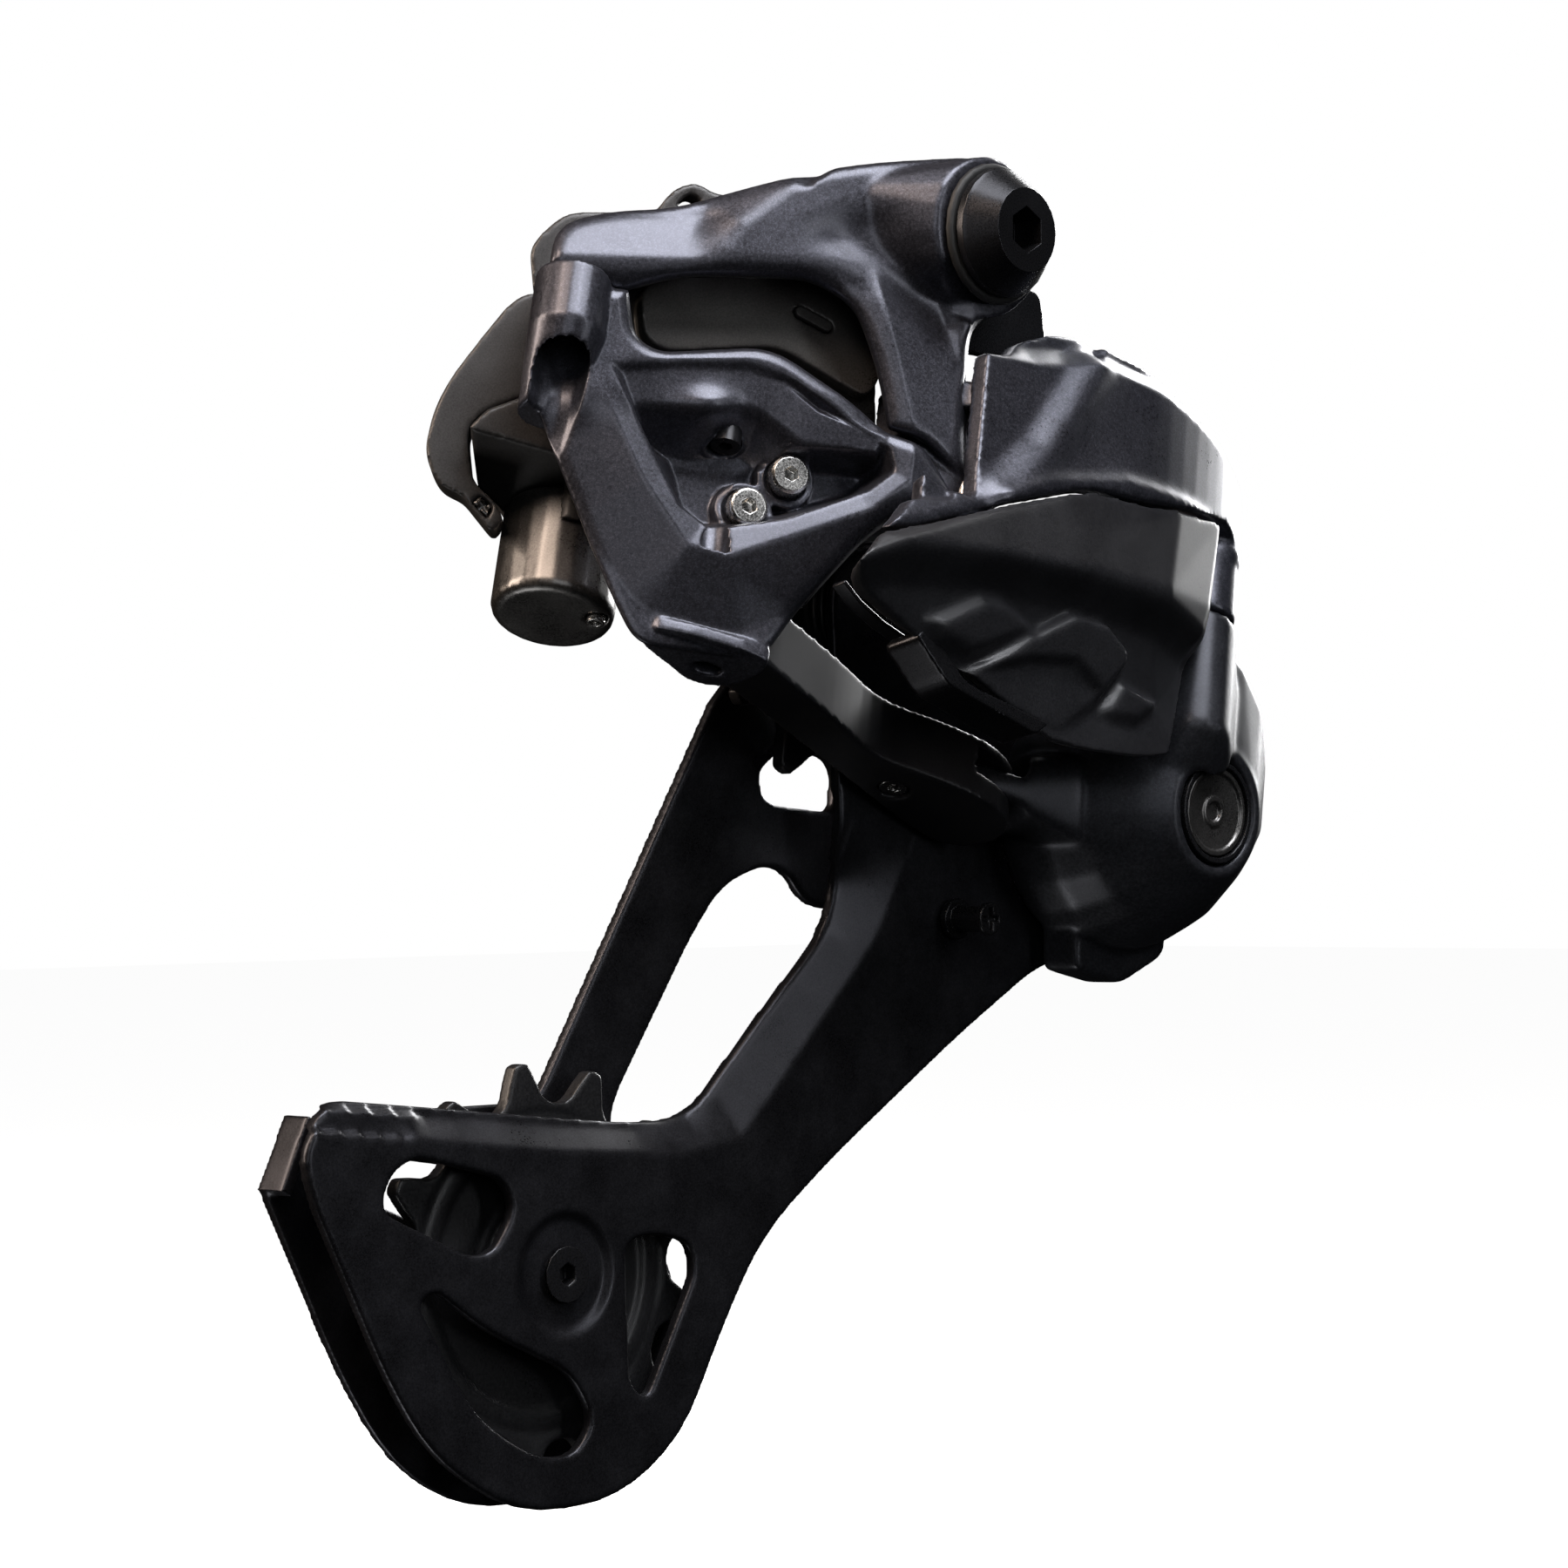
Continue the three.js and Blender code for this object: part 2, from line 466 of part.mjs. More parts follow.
function topCover() {
  const cover = slab(outline([
    [-52.4, -7], [-52.5, 0.6, 2], [-50.5, 3.1, 2], [-47.6, 5.5, 2], [-45.6, 6.3, 2], [-33.6, 6.9, 1], [-30.5, 10.5, 2],
    [-27.1, 11.6, 2], [-24.6, 10, 1], [-14, 9, 3], [-10, 4], [-13, -5.6], [-36, -6], [-46, -7],
  ]), CASE_BACK + 4, COVER_SEAT);
  const eye = slab(outline([[-30.8, 7.6, 0.6], [-28, 10, 0.8], [-26.4, 9, 0.6], [-27.4, 7.6, 0.4]]), CASE_BACK, COVER_SEAT + 1);
  const caseRoom = slab(outline([
    [CASE_LEFT - FIT, -30], [CASE_LEFT - FIT, -7.6], [-36, -6.4], [-20, -6], [-11.6, -7.4], [-8, -13], [-8, -30],
  ]), CASE_BACK - 1, CASE_STEP);
  const coverRoom = slab(outline([[-60, -30], [-60, -5.2], [-44, -5.2], [-44, -30]]), CASE_BACK - 1, CASE_STEP);
  return cut(cover.applyMatrix4(leanFrom(COVER_SEAT)), eye, caseRoom, coverRoom, guideRoom());
}

// A round piece along the z of its frame from [radius, z] points.
const turnedUp = (profile, x, y, sides) => turned(profile, [0, 0], sides).rotateX(Math.PI / 2).translate(x, y, 0);

const HOUSING_Z = [-45.4, -35.2];
const CAN = [-23, 36];
const CAN_R = 8.6;
const CAN_Z = [-62, HOUSING_Z[0] - FIT];
const CAN_SCREW = [-19.4, 30.9];

function gearHousing() {
  const body = slab(outline([
    [-56, 34, 3], [-50, 24.4, 3], [-41, 20.6, 2], [-34, 23.2, 3], [-20, 25.4, 3], [-13, 30, 4], [-14, 40, 5],
    [-20, 48, 5], [-28, 50, 5], [-50, 50, 5],
  ]), ...HOUSING_Z);
  const nub = rod(-27, 30.6, 2.8, HOUSING_Z[0] - 6, HOUSING_Z[0] + 3);
  const barrelHere = rod(...BARREL, BARREL_R + FIT, BARREL_Z[0] - 9, BARREL_Z[1] + 1);
  const canSide = rod(...CAN, CAN_R + FIT, HOUSING_Z[0] - 10, HOUSING_Z[0]);
  const caseRoom = slab(outline([
    [-80, -16], [-54.6, -16], [-50, -21], [-45.2, -21], [-45.2, -26], [-43, -26.8], [-14, -34.8], [-9, -40], [-9, -80],
    [-80, -80],
  ]), -60, 4).applyMatrix4(FACE).applyMatrix4(LINK.clone().invert());
  const coverRoom = slab(outline([
    [-59.6, -80], [-59.6, -40.2], [-61, -37.2], [-63.8, -34.8], [-64, -27.8], [-61.4, -25.4], [-54.7, -22.9], [-44, -20.8],
    [20, -20], [20, -80],
  ]), -60, 4).applyMatrix4(leanFrom(COVER_FRONT)).applyMatrix4(FACE).applyMatrix4(LINK.clone().invert());
  return cut(common(common(join(body, nub), caseRoom), coverRoom), canSide, barrelHere);
}

const motorCan = () => cut(
  turnedUp([
    [0, CAN_Z[0]], [CAN_R - 1.2, CAN_Z[0]], [CAN_R - 0.3, CAN_Z[0] + 0.5], [CAN_R, CAN_Z[0] + 1.3], [CAN_R, CAN_Z[1]],
    [0, CAN_Z[1]],
  ], ...CAN, SEGMENTS),
  rod(...CAN_SCREW, 1.3 + FIT, CAN_Z[0] - 1, CAN_Z[0] + 3),
);

const screwUp = (x, y, r, low, high) => cut(
  rod(x, y, r, low, high, FINE),
  turnedUp([[0, low - 1], [r * 0.5, low - 1], [r * 0.5, low + r * 0.6], [0, low + r * 0.6]], x, y, 6),
);

// A screw square to the bracket's front, its head in the recess of its boss.
const limitScrew = ([x, y]) => cut(
  join(
    turnedUp([
      [0, FRONT - 5.7], [SCREW_HEAD_R, FRONT - 5.7], [SCREW_HEAD_R, FRONT - 3.6], [SCREW_HEAD_R - 0.4, FRONT - 3.2],
      [0, FRONT - 3.2],
    ], x, y, FINE),
    rod(x, y, SCREW_R, FRONT - 9.4, FRONT - 5.5, FINE),
  ),
  turnedUp([[0, FRONT - 4.8], [1.1, FRONT - 4.8], [1.1, FRONT], [0, FRONT]], x, y, 6),
);

add("motor_unit_case", motorUnitCase(), PLASTIC, FACE);
add("function_button", slab(pill(0), ...BUTTON_Z), PLASTIC, FACE);
add("inner_cover", innerCover(), PLASTIC, FACE);
add("charge_port_insert", chargePortInsert(), SATIN, FACE);
add("top_cover", topCover(), PLASTIC, FACE);
add("gear_housing", gearHousing(), PLASTIC, LINK);
add("motor_can", motorCan(), SATIN, LINK);
add("motor_can_screw", screwUp(...CAN_SCREW, 1.3, CAN_Z[0] - 0.6, CAN_Z[0] + 2.7), STEEL, LINK);
add("limit_screw_near", limitScrew(SCREWS[0]), STEEL, FACE);
add("limit_screw_far", limitScrew(SCREWS[1]), STEEL, FACE);
add("dome_screw", screwUp(...DOME_SCREW, DOME_SCREW_R, ...DOME_SCREW_Z), DARK, LINK);

// ---- Cage --------------------------------------------------------------------------------------------------

const outerPlateY = [OUTER_PLATE_Y, OUTER_PLATE_Y + PLATE_T];
const innerPlateY = [outerPlateY[1] + PLATE_GAP, outerPlateY[1] + PLATE_GAP + PLATE_T];
const pulleyY = (outerPlateY[1] + innerPlateY[0]) / 2;
const AXLE_HOLE_R = CAGE_AXLE_R;

// A slot between rounded ends and other plate cuts, all in X, Z.
function outerCagePlate() {
  const [tx, tz] = TENSION_AXIS;
  const plate = outline([
    [-9.5, -45, 7], [1.5, -40.5, 9], [13, -47, 8], [24, -64, 8], [43.2, -61.5, 18], [62.5, -80.5, 18],
    [50, -99.5, 12], [32.6, -103.2, 4], [15.5, -112.7, 6], [-11.6, -129.5, 12], [-24.6, -139, 10],
    [-32.4, -151, 8], [-40, -165, 12], [-52, -172.2, 12], [-70, -172.6, 14], [-84.5, -163, 10],
    [-91.5, -152.8, 10], [-103.4, -129, 4], [-105, -123, 4], [-100, -116.4, 5], [-83.2, -118.2, 6],
    [-46.5, -122.2, 8], [-36, -122, 8], [-21.6, -108.3, 8], [-10.2, -98, 6], [-7, -91, 6], [-8.2, -82.9, 6],
  ]);
  const holes = [
    [[-92.6, -131, 3], [-90.5, -126.2, 3], [-86.5, -124.4, 3], [-71.5, -128.2, 3], [-69.8, -132.5, 3],
      [-73.5, -137.6, 3], [-77.5, -137.9, 3]],
    [[-86.4, -143.4, 1.5], [-83.5, -141.8, 1.5], [-74.8, -147.9, 6], [-60, -154.6, 4], [-56.2, -161, 4],
      [-59.5, -165.6, 3], [-66.5, -165.2, 6], [-77, -159, 8]],
    [[-50.2, -138, 2], [-46, -137, 3], [-38.4, -138.6, 3], [-37.4, -143, 3], [-46.6, -159.5, 2.5],
      [-49.8, -157, 2]],
  ].map((points) => outline(points));
  plate.holes.push(...holes, round(...GUIDE_AXIS, PULLEY_BOLT_R + FIT), round(tx, tz, PULLEY_BOLT_R + FIT));
  plate.holes.push(round(...CAGE_PIVOT, AXLE_HOLE_R + FIT));
  return sidePlate(plate, ...outerPlateY);
}

function innerCagePlate() {
  const plate = outline([
    [-9, -44, 7], [1.5, -40, 8], [12, -46, 8], [13, -56, 6], [4, -70, 5], [5, -90, 5], [0, -94.2, 2],
    [-6, -93, 3], [-9.5, -88.4, 2.5], [-14, -87.5, 3], [-22, -90, 6], [-28, -96.8, 6], [-45.8, -123, 7],
    [-38, -134, 8], [-30.5, -148, 8], [-38, -165.5, 12], [-50, -172.4, 12], [-70, -172.8, 14], [-83, -165.4, 10],
    [-91.4, -153, 10], [-103.6, -128, 1], [-99.2, -118.6, 1], [-94, -119.8, 2], [-80, -119, 4], [-57.4, -119, 3],
    [-23.4, -64.4, 1], [-20.6, -61.6, 1],
  ]);
  plate.holes.push(
    outline([[-14.6, -74, 1], [-14.2, -77.8, 2], [-11.4, -79, 1], [0, -80, 2], [1, -72, 2], [-8, -69.4, 2]]),
    outline([[-86.4, -143.4, 1.5], [-83.5, -141.8, 1.5], [-74.8, -147.9, 6], [-60, -154.6, 4], [-56.2, -161, 4],
      [-59.5, -165.6, 3], [-66.5, -165.2, 6], [-77, -159, 8]]),
    outline([[-88, -130, 3], [-84, -125, 3], [-71, -127, 3], [-73, -136, 3]]),
    outline([[-50.2, -138, 2], [-44, -136, 3], [-38.4, -140, 3], [-46.6, -158, 2.5]]),
    round(...GUIDE_AXIS, PULLEY_BOLT_R + FIT), round(...TENSION_AXIS, PULLEY_BOLT_R + FIT),
  );
  const guard = sidePlate(outline([
    [-103.6, -128], [-99.2, -118.6], [-97.6, -119.4], [-102, -128.8],
  ]), innerPlateY[0] - 3.4, innerPlateY[1]);
  return join(sidePlate(plate, ...innerPlateY), guard);
}

const STOP_PIN = [14.4, -95.6];
const STOP_PIN_R = 1.9;
const STOP_PIN_FLANGE_R = 3;
const STOP_PIN_HEAD_R = 2.4;
const STOP_PIN_HEAD_Y = -3.2;

const stopPin = () => cut(
  turned([
    [0, STOP_PIN_HEAD_Y], [STOP_PIN_HEAD_R, STOP_PIN_HEAD_Y], [STOP_PIN_HEAD_R, STOP_PIN_HEAD_Y + 1],
    [STOP_PIN_R, STOP_PIN_HEAD_Y + 1.2], [STOP_PIN_R, OUTER_PLATE_Y - FIT - 1.2],
    [STOP_PIN_FLANGE_R, OUTER_PLATE_Y - FIT - 1.2], [STOP_PIN_FLANGE_R, OUTER_PLATE_Y - FIT], [0, OUTER_PLATE_Y - FIT],
  ], STOP_PIN, FINE),
  ...[0, 1].map((quarter) => new THREE.BoxGeometry(0.7, 1.6, 3.2)
    .rotateY((quarter * Math.PI) / 2)
    .translate(STOP_PIN[0], STOP_PIN_HEAD_Y, STOP_PIN[1])),
);

// A bolt through both plates whose head lies nearly flush in the outer plate.
function pulleyBolt(at) {
  const headY = OUTER_PLATE_Y - 0.4;
  const endY = innerPlateY[1] + 0.6;
  return cut(turned([
    [0, headY], [PULLEY_BOLT_HEAD_R - 0.3, headY], [PULLEY_BOLT_HEAD_R, headY + 0.1],
    [PULLEY_BOLT_R, OUTER_PLATE_Y - FIT + 0.2], [PULLEY_BOLT_R, endY], [0, endY],
  ], at, FINE), hex(1.5, headY, 2, at));
}

function toothedWheel(at) {
  const pitchR = CHAIN_PITCH / 2 / Math.sin(Math.PI / PULLEY_TEETH);
  const rootR = pitchR - ROLLER_R;
  const tipR = pitchR + 1.6;
  const stations = [[0, 0], [0.14, 0.04], [0.24, 0.22], [0.33, 0.6], [0.42, 0.97], [0.5, 1]];
  const profile = [...stations, ...stations.slice(1, -1).reverse().map(([t, f]) => [1 - t, f])];
  const points = Array.from({ length: PULLEY_TEETH }, (_, tooth) => profile.map(([share, rise]) => {
    const turn = (2 * Math.PI * (tooth + share)) / PULLEY_TEETH;
    const r = rootR + (tipR - rootR) * rise;
    return new THREE.Vector2(at[0] + r * Math.cos(turn), at[1] + r * Math.sin(turn));
  })).flat();
  const wheel = sidePlate(new THREE.Shape(points), pulleyY - TOOTH_T / 2, pulleyY + TOOTH_T / 2);
  const hub = cylinderY(PULLEY_SEAL_R + 1.5, pulleyY - 2.6, pulleyY + 2.6, at);
  const bore = cylinderY(PULLEY_BORE_R + RUN, pulleyY - 6, pulleyY + 6, at);
  const sealSeats = [-1, 1].map((side) => {
    const [deep, past] = [pulleyY + side * 1.7, pulleyY + side * 5];
    return cylinderY(PULLEY_SEAL_R, Math.min(deep, past), Math.max(deep, past), at);
  });
  return cut(join(wheel, hub), bore, ...sealSeats);
}

const tube = (inner, outer, low, high, at, sides) => turned(
  [[inner, low], [outer, low], [outer, high], [inner, high], [inner, low]], at, sides);

add("outer_cage_plate", outerCagePlate(), PLATE);
add("inner_cage_plate", innerCagePlate(), PLATE);
add("stop_pin", stopPin(), DARK);
for (const [name, at] of [["guide", GUIDE_AXIS], ["tension", TENSION_AXIS]]) {
  add(`${name}_pulley_bolt`, pulleyBolt(at), DARK);
  add(`${name}_pulley_wheel`, toothedWheel(at), PULLEY);
  add(`${name}_pulley_bush`, tube(
    PULLEY_BOLT_R + RUN, PULLEY_BORE_R, outerPlateY[1] + FIT, innerPlateY[0] - FIT, at, FINE), STEEL);
  for (const [side, sign] of [["outer", -1], ["inner", 1]]) {
    const near = pulleyY + sign * (2.6 - 0.9 + FIT);
    const far = pulleyY + sign * 2.9;
    add(`${name}_pulley_${side}_seal`, tube(
      PULLEY_BORE_R + RUN, PULLEY_SEAL_R - FIT, Math.min(near, far), Math.max(near, far), at, FINE), STEEL);
  }
}

// ---- P-knuckle ---------------------------------------------------------------------------------------------

const fromLink = ([x, y, z]) => vec(x, y, z).applyMatrix4(LINK).toArray();
const OUTER_FAR_LUG = [-47, -31.6];
const INNER_FAR_LUG = [-65.2, -61.8];
const AXLE_END_Y = CAP_FACE_Y + 3.6;
const SPRING_TURNS = 3.5;
const SPRING_WIRE_R = 1.1;
const SPRING_R = 11;
const SPRING_Y = [-9.6, 1.4];

function pKnuckle() {
  const bowl = turned([
    [0, CAP_FACE_Y], [CAP_COLLAR_R - 0.6, CAP_FACE_Y], [CAP_COLLAR_R, CAP_FACE_Y + 0.6], [13, -18], [17.4, -12],
    [BOWL_R, -6], [BOWL_R + 0.4, 0], [BOWL_R, BOWL_RIM_Y], [0, BOWL_RIM_Y],
  ], CAGE_PIVOT);
  const upperLug = [
    ...ring(...OUTER_FAR, LUG_R + 0.6, OUTER_FAR_LUG[0] - 4), ...ring(...OUTER_FAR, LUG_R + 0.6, OUTER_FAR_LUG[1]),
  ].map(fromLink);
  const lowerLug = [
    ...ring(...INNER_FAR, LUG_R + 1, INNER_FAR_LUG[0]), ...ring(...INNER_FAR, LUG_R + 1, INNER_FAR_LUG[1]),
  ].map(fromLink);
  const neck = hull([...upperLug, ...ringY(...CAGE_PIVOT, 12, -16), ...ringY(...CAGE_PIVOT, 15, -4)]);
  const tongue = hull([...lowerLug, ...ringY(CAGE_PIVOT[0] - 6, CAGE_PIVOT[1], 9, -12), ...ringY(...CAGE_PIVOT, 10, -2)]);
  const earPoints = [[50.5, -54.8], [56, -59], [60, -65], [60.8, -73], [59.4, -83.5]];
  const teardrop = hull([
    ...ringY(...CAGE_PIVOT, CAP_COLLAR_R - 0.4, CAP_FACE_Y + 0.3), ...ringY(...CAGE_PIVOT, 13, -17),
    ...earPoints.map(([x, z]) => [x, -16.5, z]), ...earPoints.map(([x, z]) => [x - 0.5, -11, z]),
  ]);
  const stopTab = sidePlate(outline([
    [32, -96], [32, -103.4, 1.5], [42.4, -105.8, 1.5], [52.6, -101.6, 2], [52, -94],
  ]), BOWL_RIM_Y - 7, BOWL_RIM_Y);
  const cavity = turned([
    [0, -13], [13, -13], [BOWL_R - BOWL_WALL, -8], [BOWL_R - BOWL_WALL, BOWL_RIM_Y + 1], [0, BOWL_RIM_Y + 1],
  ], CAGE_PIVOT);
  const capSeat = cylinderY(CAP_R + FIT, CAP_FACE_Y - 1, CAP_FACE_Y + 3, CAGE_PIVOT);
  const axleHole = cylinderY(CAGE_AXLE_R + RUN, CAP_FACE_Y, 0, CAGE_PIVOT);
  const holes = [
    rod(...OUTER_FAR, PIN_R + RUN, OUTER_FAR_LUG[0] - 1, OUTER_FAR_LUG[1] + 1).applyMatrix4(LINK),
    rod(...INNER_FAR, PIN_R + FIT, INNER_FAR_LUG[0] - 1, INNER_FAR_LUG[1] + 1).applyMatrix4(LINK),
  ];
  const innerLinkRoom = [
    rod(...INNER_FAR, 9.2, INNER_FAR_LUG[1] + FIT, INNER_FAR_LUG[1] + 9),
    rod(...INNER_FAR, 9.2, INNER_FAR_LUG[0] - 9, INNER_FAR_LUG[0] - FIT),
    rod(...OUTER_FAR, 14, OUTER_FAR_LUG[1], OUTER_FAR_LUG[1] + 20),
  ].map((g) => g.applyMatrix4(LINK));
  return cut(join(bowl, neck, tongue, teardrop, stopTab), cavity, capSeat, axleHole, ...holes, ...innerLinkRoom);
}

add("p_knuckle", pKnuckle(), PAINT);


const axleY = [CAP_FACE_Y + 3.6, outerPlateY[1] + 1.8];
const capY = [CAP_FACE_Y + 0.3, CAP_FACE_Y + 2.7];
const CAP_DISC_R = 6.5;

const cageAxle = () => turned([
  [0, axleY[0]], [CAGE_AXLE_R, axleY[0]], [CAGE_AXLE_R, outerPlateY[1] + FIT], [CAGE_AXLE_R + 3, outerPlateY[1] + FIT],
  [CAGE_AXLE_R + 3, axleY[1]], [0, axleY[1]],
], CAGE_PIVOT);

// A torsion spring round the axle, inside the bowl.
function cageSpring() {
  const count = SPRING_TURNS * 12;
  const points = Array.from({ length: count + 1 }, (_, i) => {
    const turn = (2 * Math.PI * SPRING_TURNS * i) / count;
    return vec(
      CAGE_PIVOT[0] + SPRING_R * Math.cos(turn),
      SPRING_Y[0] + ((SPRING_Y[1] - SPRING_Y[0]) * i) / count,
      CAGE_PIVOT[1] + SPRING_R * Math.sin(turn),
    );
  });
  const wire = new THREE.Shape(round(0, 0, SPRING_WIRE_R, 6).getPoints());
  return new THREE.ExtrudeGeometry(wire, {
    extrudePath: new THREE.CatmullRomCurve3(points), steps: count, bevelEnabled: false,
  });
}

add("cage_axle", cageAxle(), STEEL);
add("cage_spring", cageSpring(), STEEL);
add("cap_ring", tube(CAP_DISC_R + FIT, CAP_R, capY[0] - 0.3, capY[1], CAGE_PIVOT), DARK);
add("p_axis_cap", turned([
  [0, capY[0] + 0.9], [1.3, capY[0] + 0.9], [1.5, capY[0] + 0.4], [2.1, capY[0] + 0.4], [2.5, capY[0] + 0.7],
  [CAP_DISC_R - 1, capY[0] + 0.4], [CAP_DISC_R - 0.7, capY[0]], [CAP_DISC_R, capY[0]], [CAP_DISC_R, capY[1]],
  [0, capY[1]],
], CAGE_PIVOT), SATIN);

// ---- Links (link frame) ------------------------------------------------------------------------------------

const UPPER_EAR = [OUTER_LUG[1] + FIT, -24];
const LOWER_EAR = [-50, OUTER_LUG[0] - FIT];
const FAR_BARREL = [OUTER_FAR_LUG[1] + FIT, -12];
const INNER_LINK_Z = [INNER_ROOM[0] + FIT, INNER_ROOM[1] - 1];
const LINK_SCREW = [29, 17.2];
const LINK_SCREW_R = 2.1;
const earOutline = (grow) => outline([
  [-5 - grow, -15.8], [7, -16.4], [14 + grow, -12, 2], [14.6 + grow, -7 + grow, 3], [9.2, -3.6 + grow, 4],
  [4 - grow, -6 + grow, 3], [2 - grow, -9.6 + grow, 3], [-4 - grow, -12.4 + grow],
]);

function outerLink() {
  const band = outline([
    [-11.5, -15.8], [-2, -17], [20, -19, 8], [45, -19, 8], [60, -15.6, 6], [68.6, -11.4, 5], [71, -6, 4], [70, -1],
    [67.2, -1], [68, -6, 3], [66, -9.4, 3], [59, -12.8, 5], [45, -16.2, 6], [20, -16.2, 6], [-2, -14.2], [-11.5, -13.2],
  ]);
  const side = linkSide(outline([
    [3.9, -21.2], [8.6, -19.2, 2], [11.3, -15, 3], [18.6, -9.3, 3], [23.5, -7.6, 2], [37.8, -5.6, 5], [50.8, -6.5, 4],
    [60, -4, 4], [68, -6, 4], [70, -17, 3], [66, -18.6], [60, -18.9], [38, -28.8, 4], [24, -33.8, 4], [7.9, -44.8, 3],
    [-6.6, -55.4], [-10.9, -57.5], [-7.2, -51.2], [0, -47.6], [0, -46, 1], [3.9, -45.6, 1],
  ]), -30, 5);
  const skin = common(slab(band, -62, 0), side);
  const ears = [
    common(slab(earOutline(0), ...UPPER_EAR), rod(...OUTER_PIVOT, 9, ...UPPER_EAR).translate(3.6, 0, 0)),
    slab(earOutline(0), ...LOWER_EAR),
  ];
  const barrel = rod(...OUTER_FAR, 5, ...FAR_BARREL, SEGMENTS);
  return cut(
    join(skin, ...ears, barrel),
    rod(...OUTER_PIVOT, PIN_R + RUN, LOWER_EAR[0] - 1, UPPER_EAR[1] + 1),
    rod(...OUTER_FAR, PIN_R + RUN, FAR_BARREL[0] - 1, FAR_BARREL[1] - 3),
  );
}

// The battery and the room it lies in, grown on every side.
const batteryOutline = (grow) => outline([
  [6 - grow, -58.6 - grow, 2], [38 + grow, -56.4 - grow, 2], [43 + grow, -53, 2], [43 + grow, -42 + grow, 3],
  [26 - grow, -42.5 + grow, 3], [17 - grow, -50.4 + grow, 2], [6 - grow, -52.4 + grow, 2],
]);
const BATTERY_Y = [-11, -6.6];

const leverOutline = (grow) => outline([
  [0 - grow, -67.7, 1], [1.9, -65.3 + grow, 1], [10.8, -69.7 + grow, 2], [28.7 + grow, -67.2 + grow, 1],
  [26.1 + grow, -70.2 - grow, 1], [7.4, -71.8 - grow, 2],
]);
const LEVER_Y = [-11, -5];

function batteryHousing() {
  const body = hull([
    [-14.7, -16, -61.2], [-1.3, -16.6, -52.8], [18, -18, -37.6], [27.3, -18.6, -32.6], [45.1, -18.6, -25.6],
    [57.6, -16, -20.4], [60.6, -13.4, -20.4], [-18.3, -16.6, -67.4], [-10.6, -18, -60.4], [2.5, -18.4, -54.6],
    [24.9, -19, -46.4], [44, -18.6, -39.8], [57, -15.4, -35], [60, -13.2, -34], [-12.8, -10, -65.5],
    [-6.4, -9, -66.6], [31.5, -9.4, -68.2], [39, -9.4, -66], [43.6, -9, -62.8], [50.5, -9, -61.4], [57, -11, -58],
    [-2.3, -5, -63], [36, -5, -64.8], [46, -5, -60], [54, -7, -57], [27, -5, -52], [46, -5, -37], [56, -7, -33],
  ]);
  const skinRoom = linkSide(outline([
    [-20, -40], [-11.4, -57.2], [-6.8, -55.9], [7.8, -45.2], [24, -34.2], [38, -29.2], [60, -19.3], [72, -19.3], [72, 0],
    [-20, 0],
  ]), -30, 0);
  return cut(
    body, skinRoom, slab(earOutline(FIT + 0.2), LOWER_EAR[0] - FIT, LOWER_EAR[1] + 14),
    linkSide(batteryOutline(FIT), BATTERY_Y[0] - FIT, 0), linkSide(leverOutline(FIT), LEVER_Y[0] - FIT, 0),
    rod(...OUTER_FAR, LUG_R + 1.6, -80, -10), bowlRoom(),
  );
}

// The room the knuckle's bowl needs, in the link frame.
const bowlRoom = () => turned([
  [0, CAP_FACE_Y - 3], [CAP_COLLAR_R + 1, CAP_FACE_Y - 3], [CAP_COLLAR_R + 2, CAP_FACE_Y], [19, -12], [22, -6], [22, 6], [0, 6],
], CAGE_PIVOT).applyMatrix4(LINK.clone().invert());

function innerLink() {
  const body = slab(outline([
    [-18.4, 14.1, 5], [-15, 9.4, 4], [-8, 9.2, 4], [10.6, 11.4, 4], [20.4, 13.4, 5], [30.7, 9.2, 5], [39.2, 7.4, 5],
    [46.6, 9.6, 5], [48.6, 15.5, 5], [46.5, 21, 5], [40, 22.2, 4], [20.4, 20.4, 4], [-4, 18.2, 4], [-13, 19, 4],
    [-18, 18, 4],
  ]), ...INNER_LINK_Z);
  // The outer cage plate passes the link's far end as the links swing.
  const plateRooms = [0, 1, 2, 3].map((step) => new THREE.BoxGeometry(200, 20, 200)
    .translate(0, OUTER_PLATE_Y - 2 * FIT + 10, -60)
    .applyMatrix4(LINK.clone().invert())
    .translate(-INNER_FAR[0], -INNER_FAR[1], 0)
    .rotateZ(-rad((LINK_SWING * step) / 3))
    .translate(...INNER_FAR, 0));
  return cut(
    body, ...plateRooms,
    rod(...INNER_FAR, 9.4, INNER_FAR_LUG[0] - FIT, INNER_FAR_LUG[1] + FIT, SEGMENTS),
    rod(...INNER_PIVOT, PIN_R + RUN, INNER_LINK_Z[0] - 1, INNER_LINK_Z[1] + 1),
    rod(...INNER_FAR, PIN_R + RUN, INNER_LINK_Z[0] + 0.6, INNER_LINK_Z[1] + 1),
    rod(...LINK_SCREW, LINK_SCREW_R + FIT, INNER_LINK_Z[0] - 1, INNER_LINK_Z[0] + 2.6),
  );
}

const CONTACT_STRIP_Y = [-4.6, -2.4];
const contactStrip = () => linkSide(outline([
  [-8.2, -61.2], [-4.6, -62.6], [0.2, -63.3], [5.8, -63.3], [5.8, -64], [0, -64], [-4.9, -63.3], [-8.5, -61.9],
]), ...CONTACT_STRIP_Y);

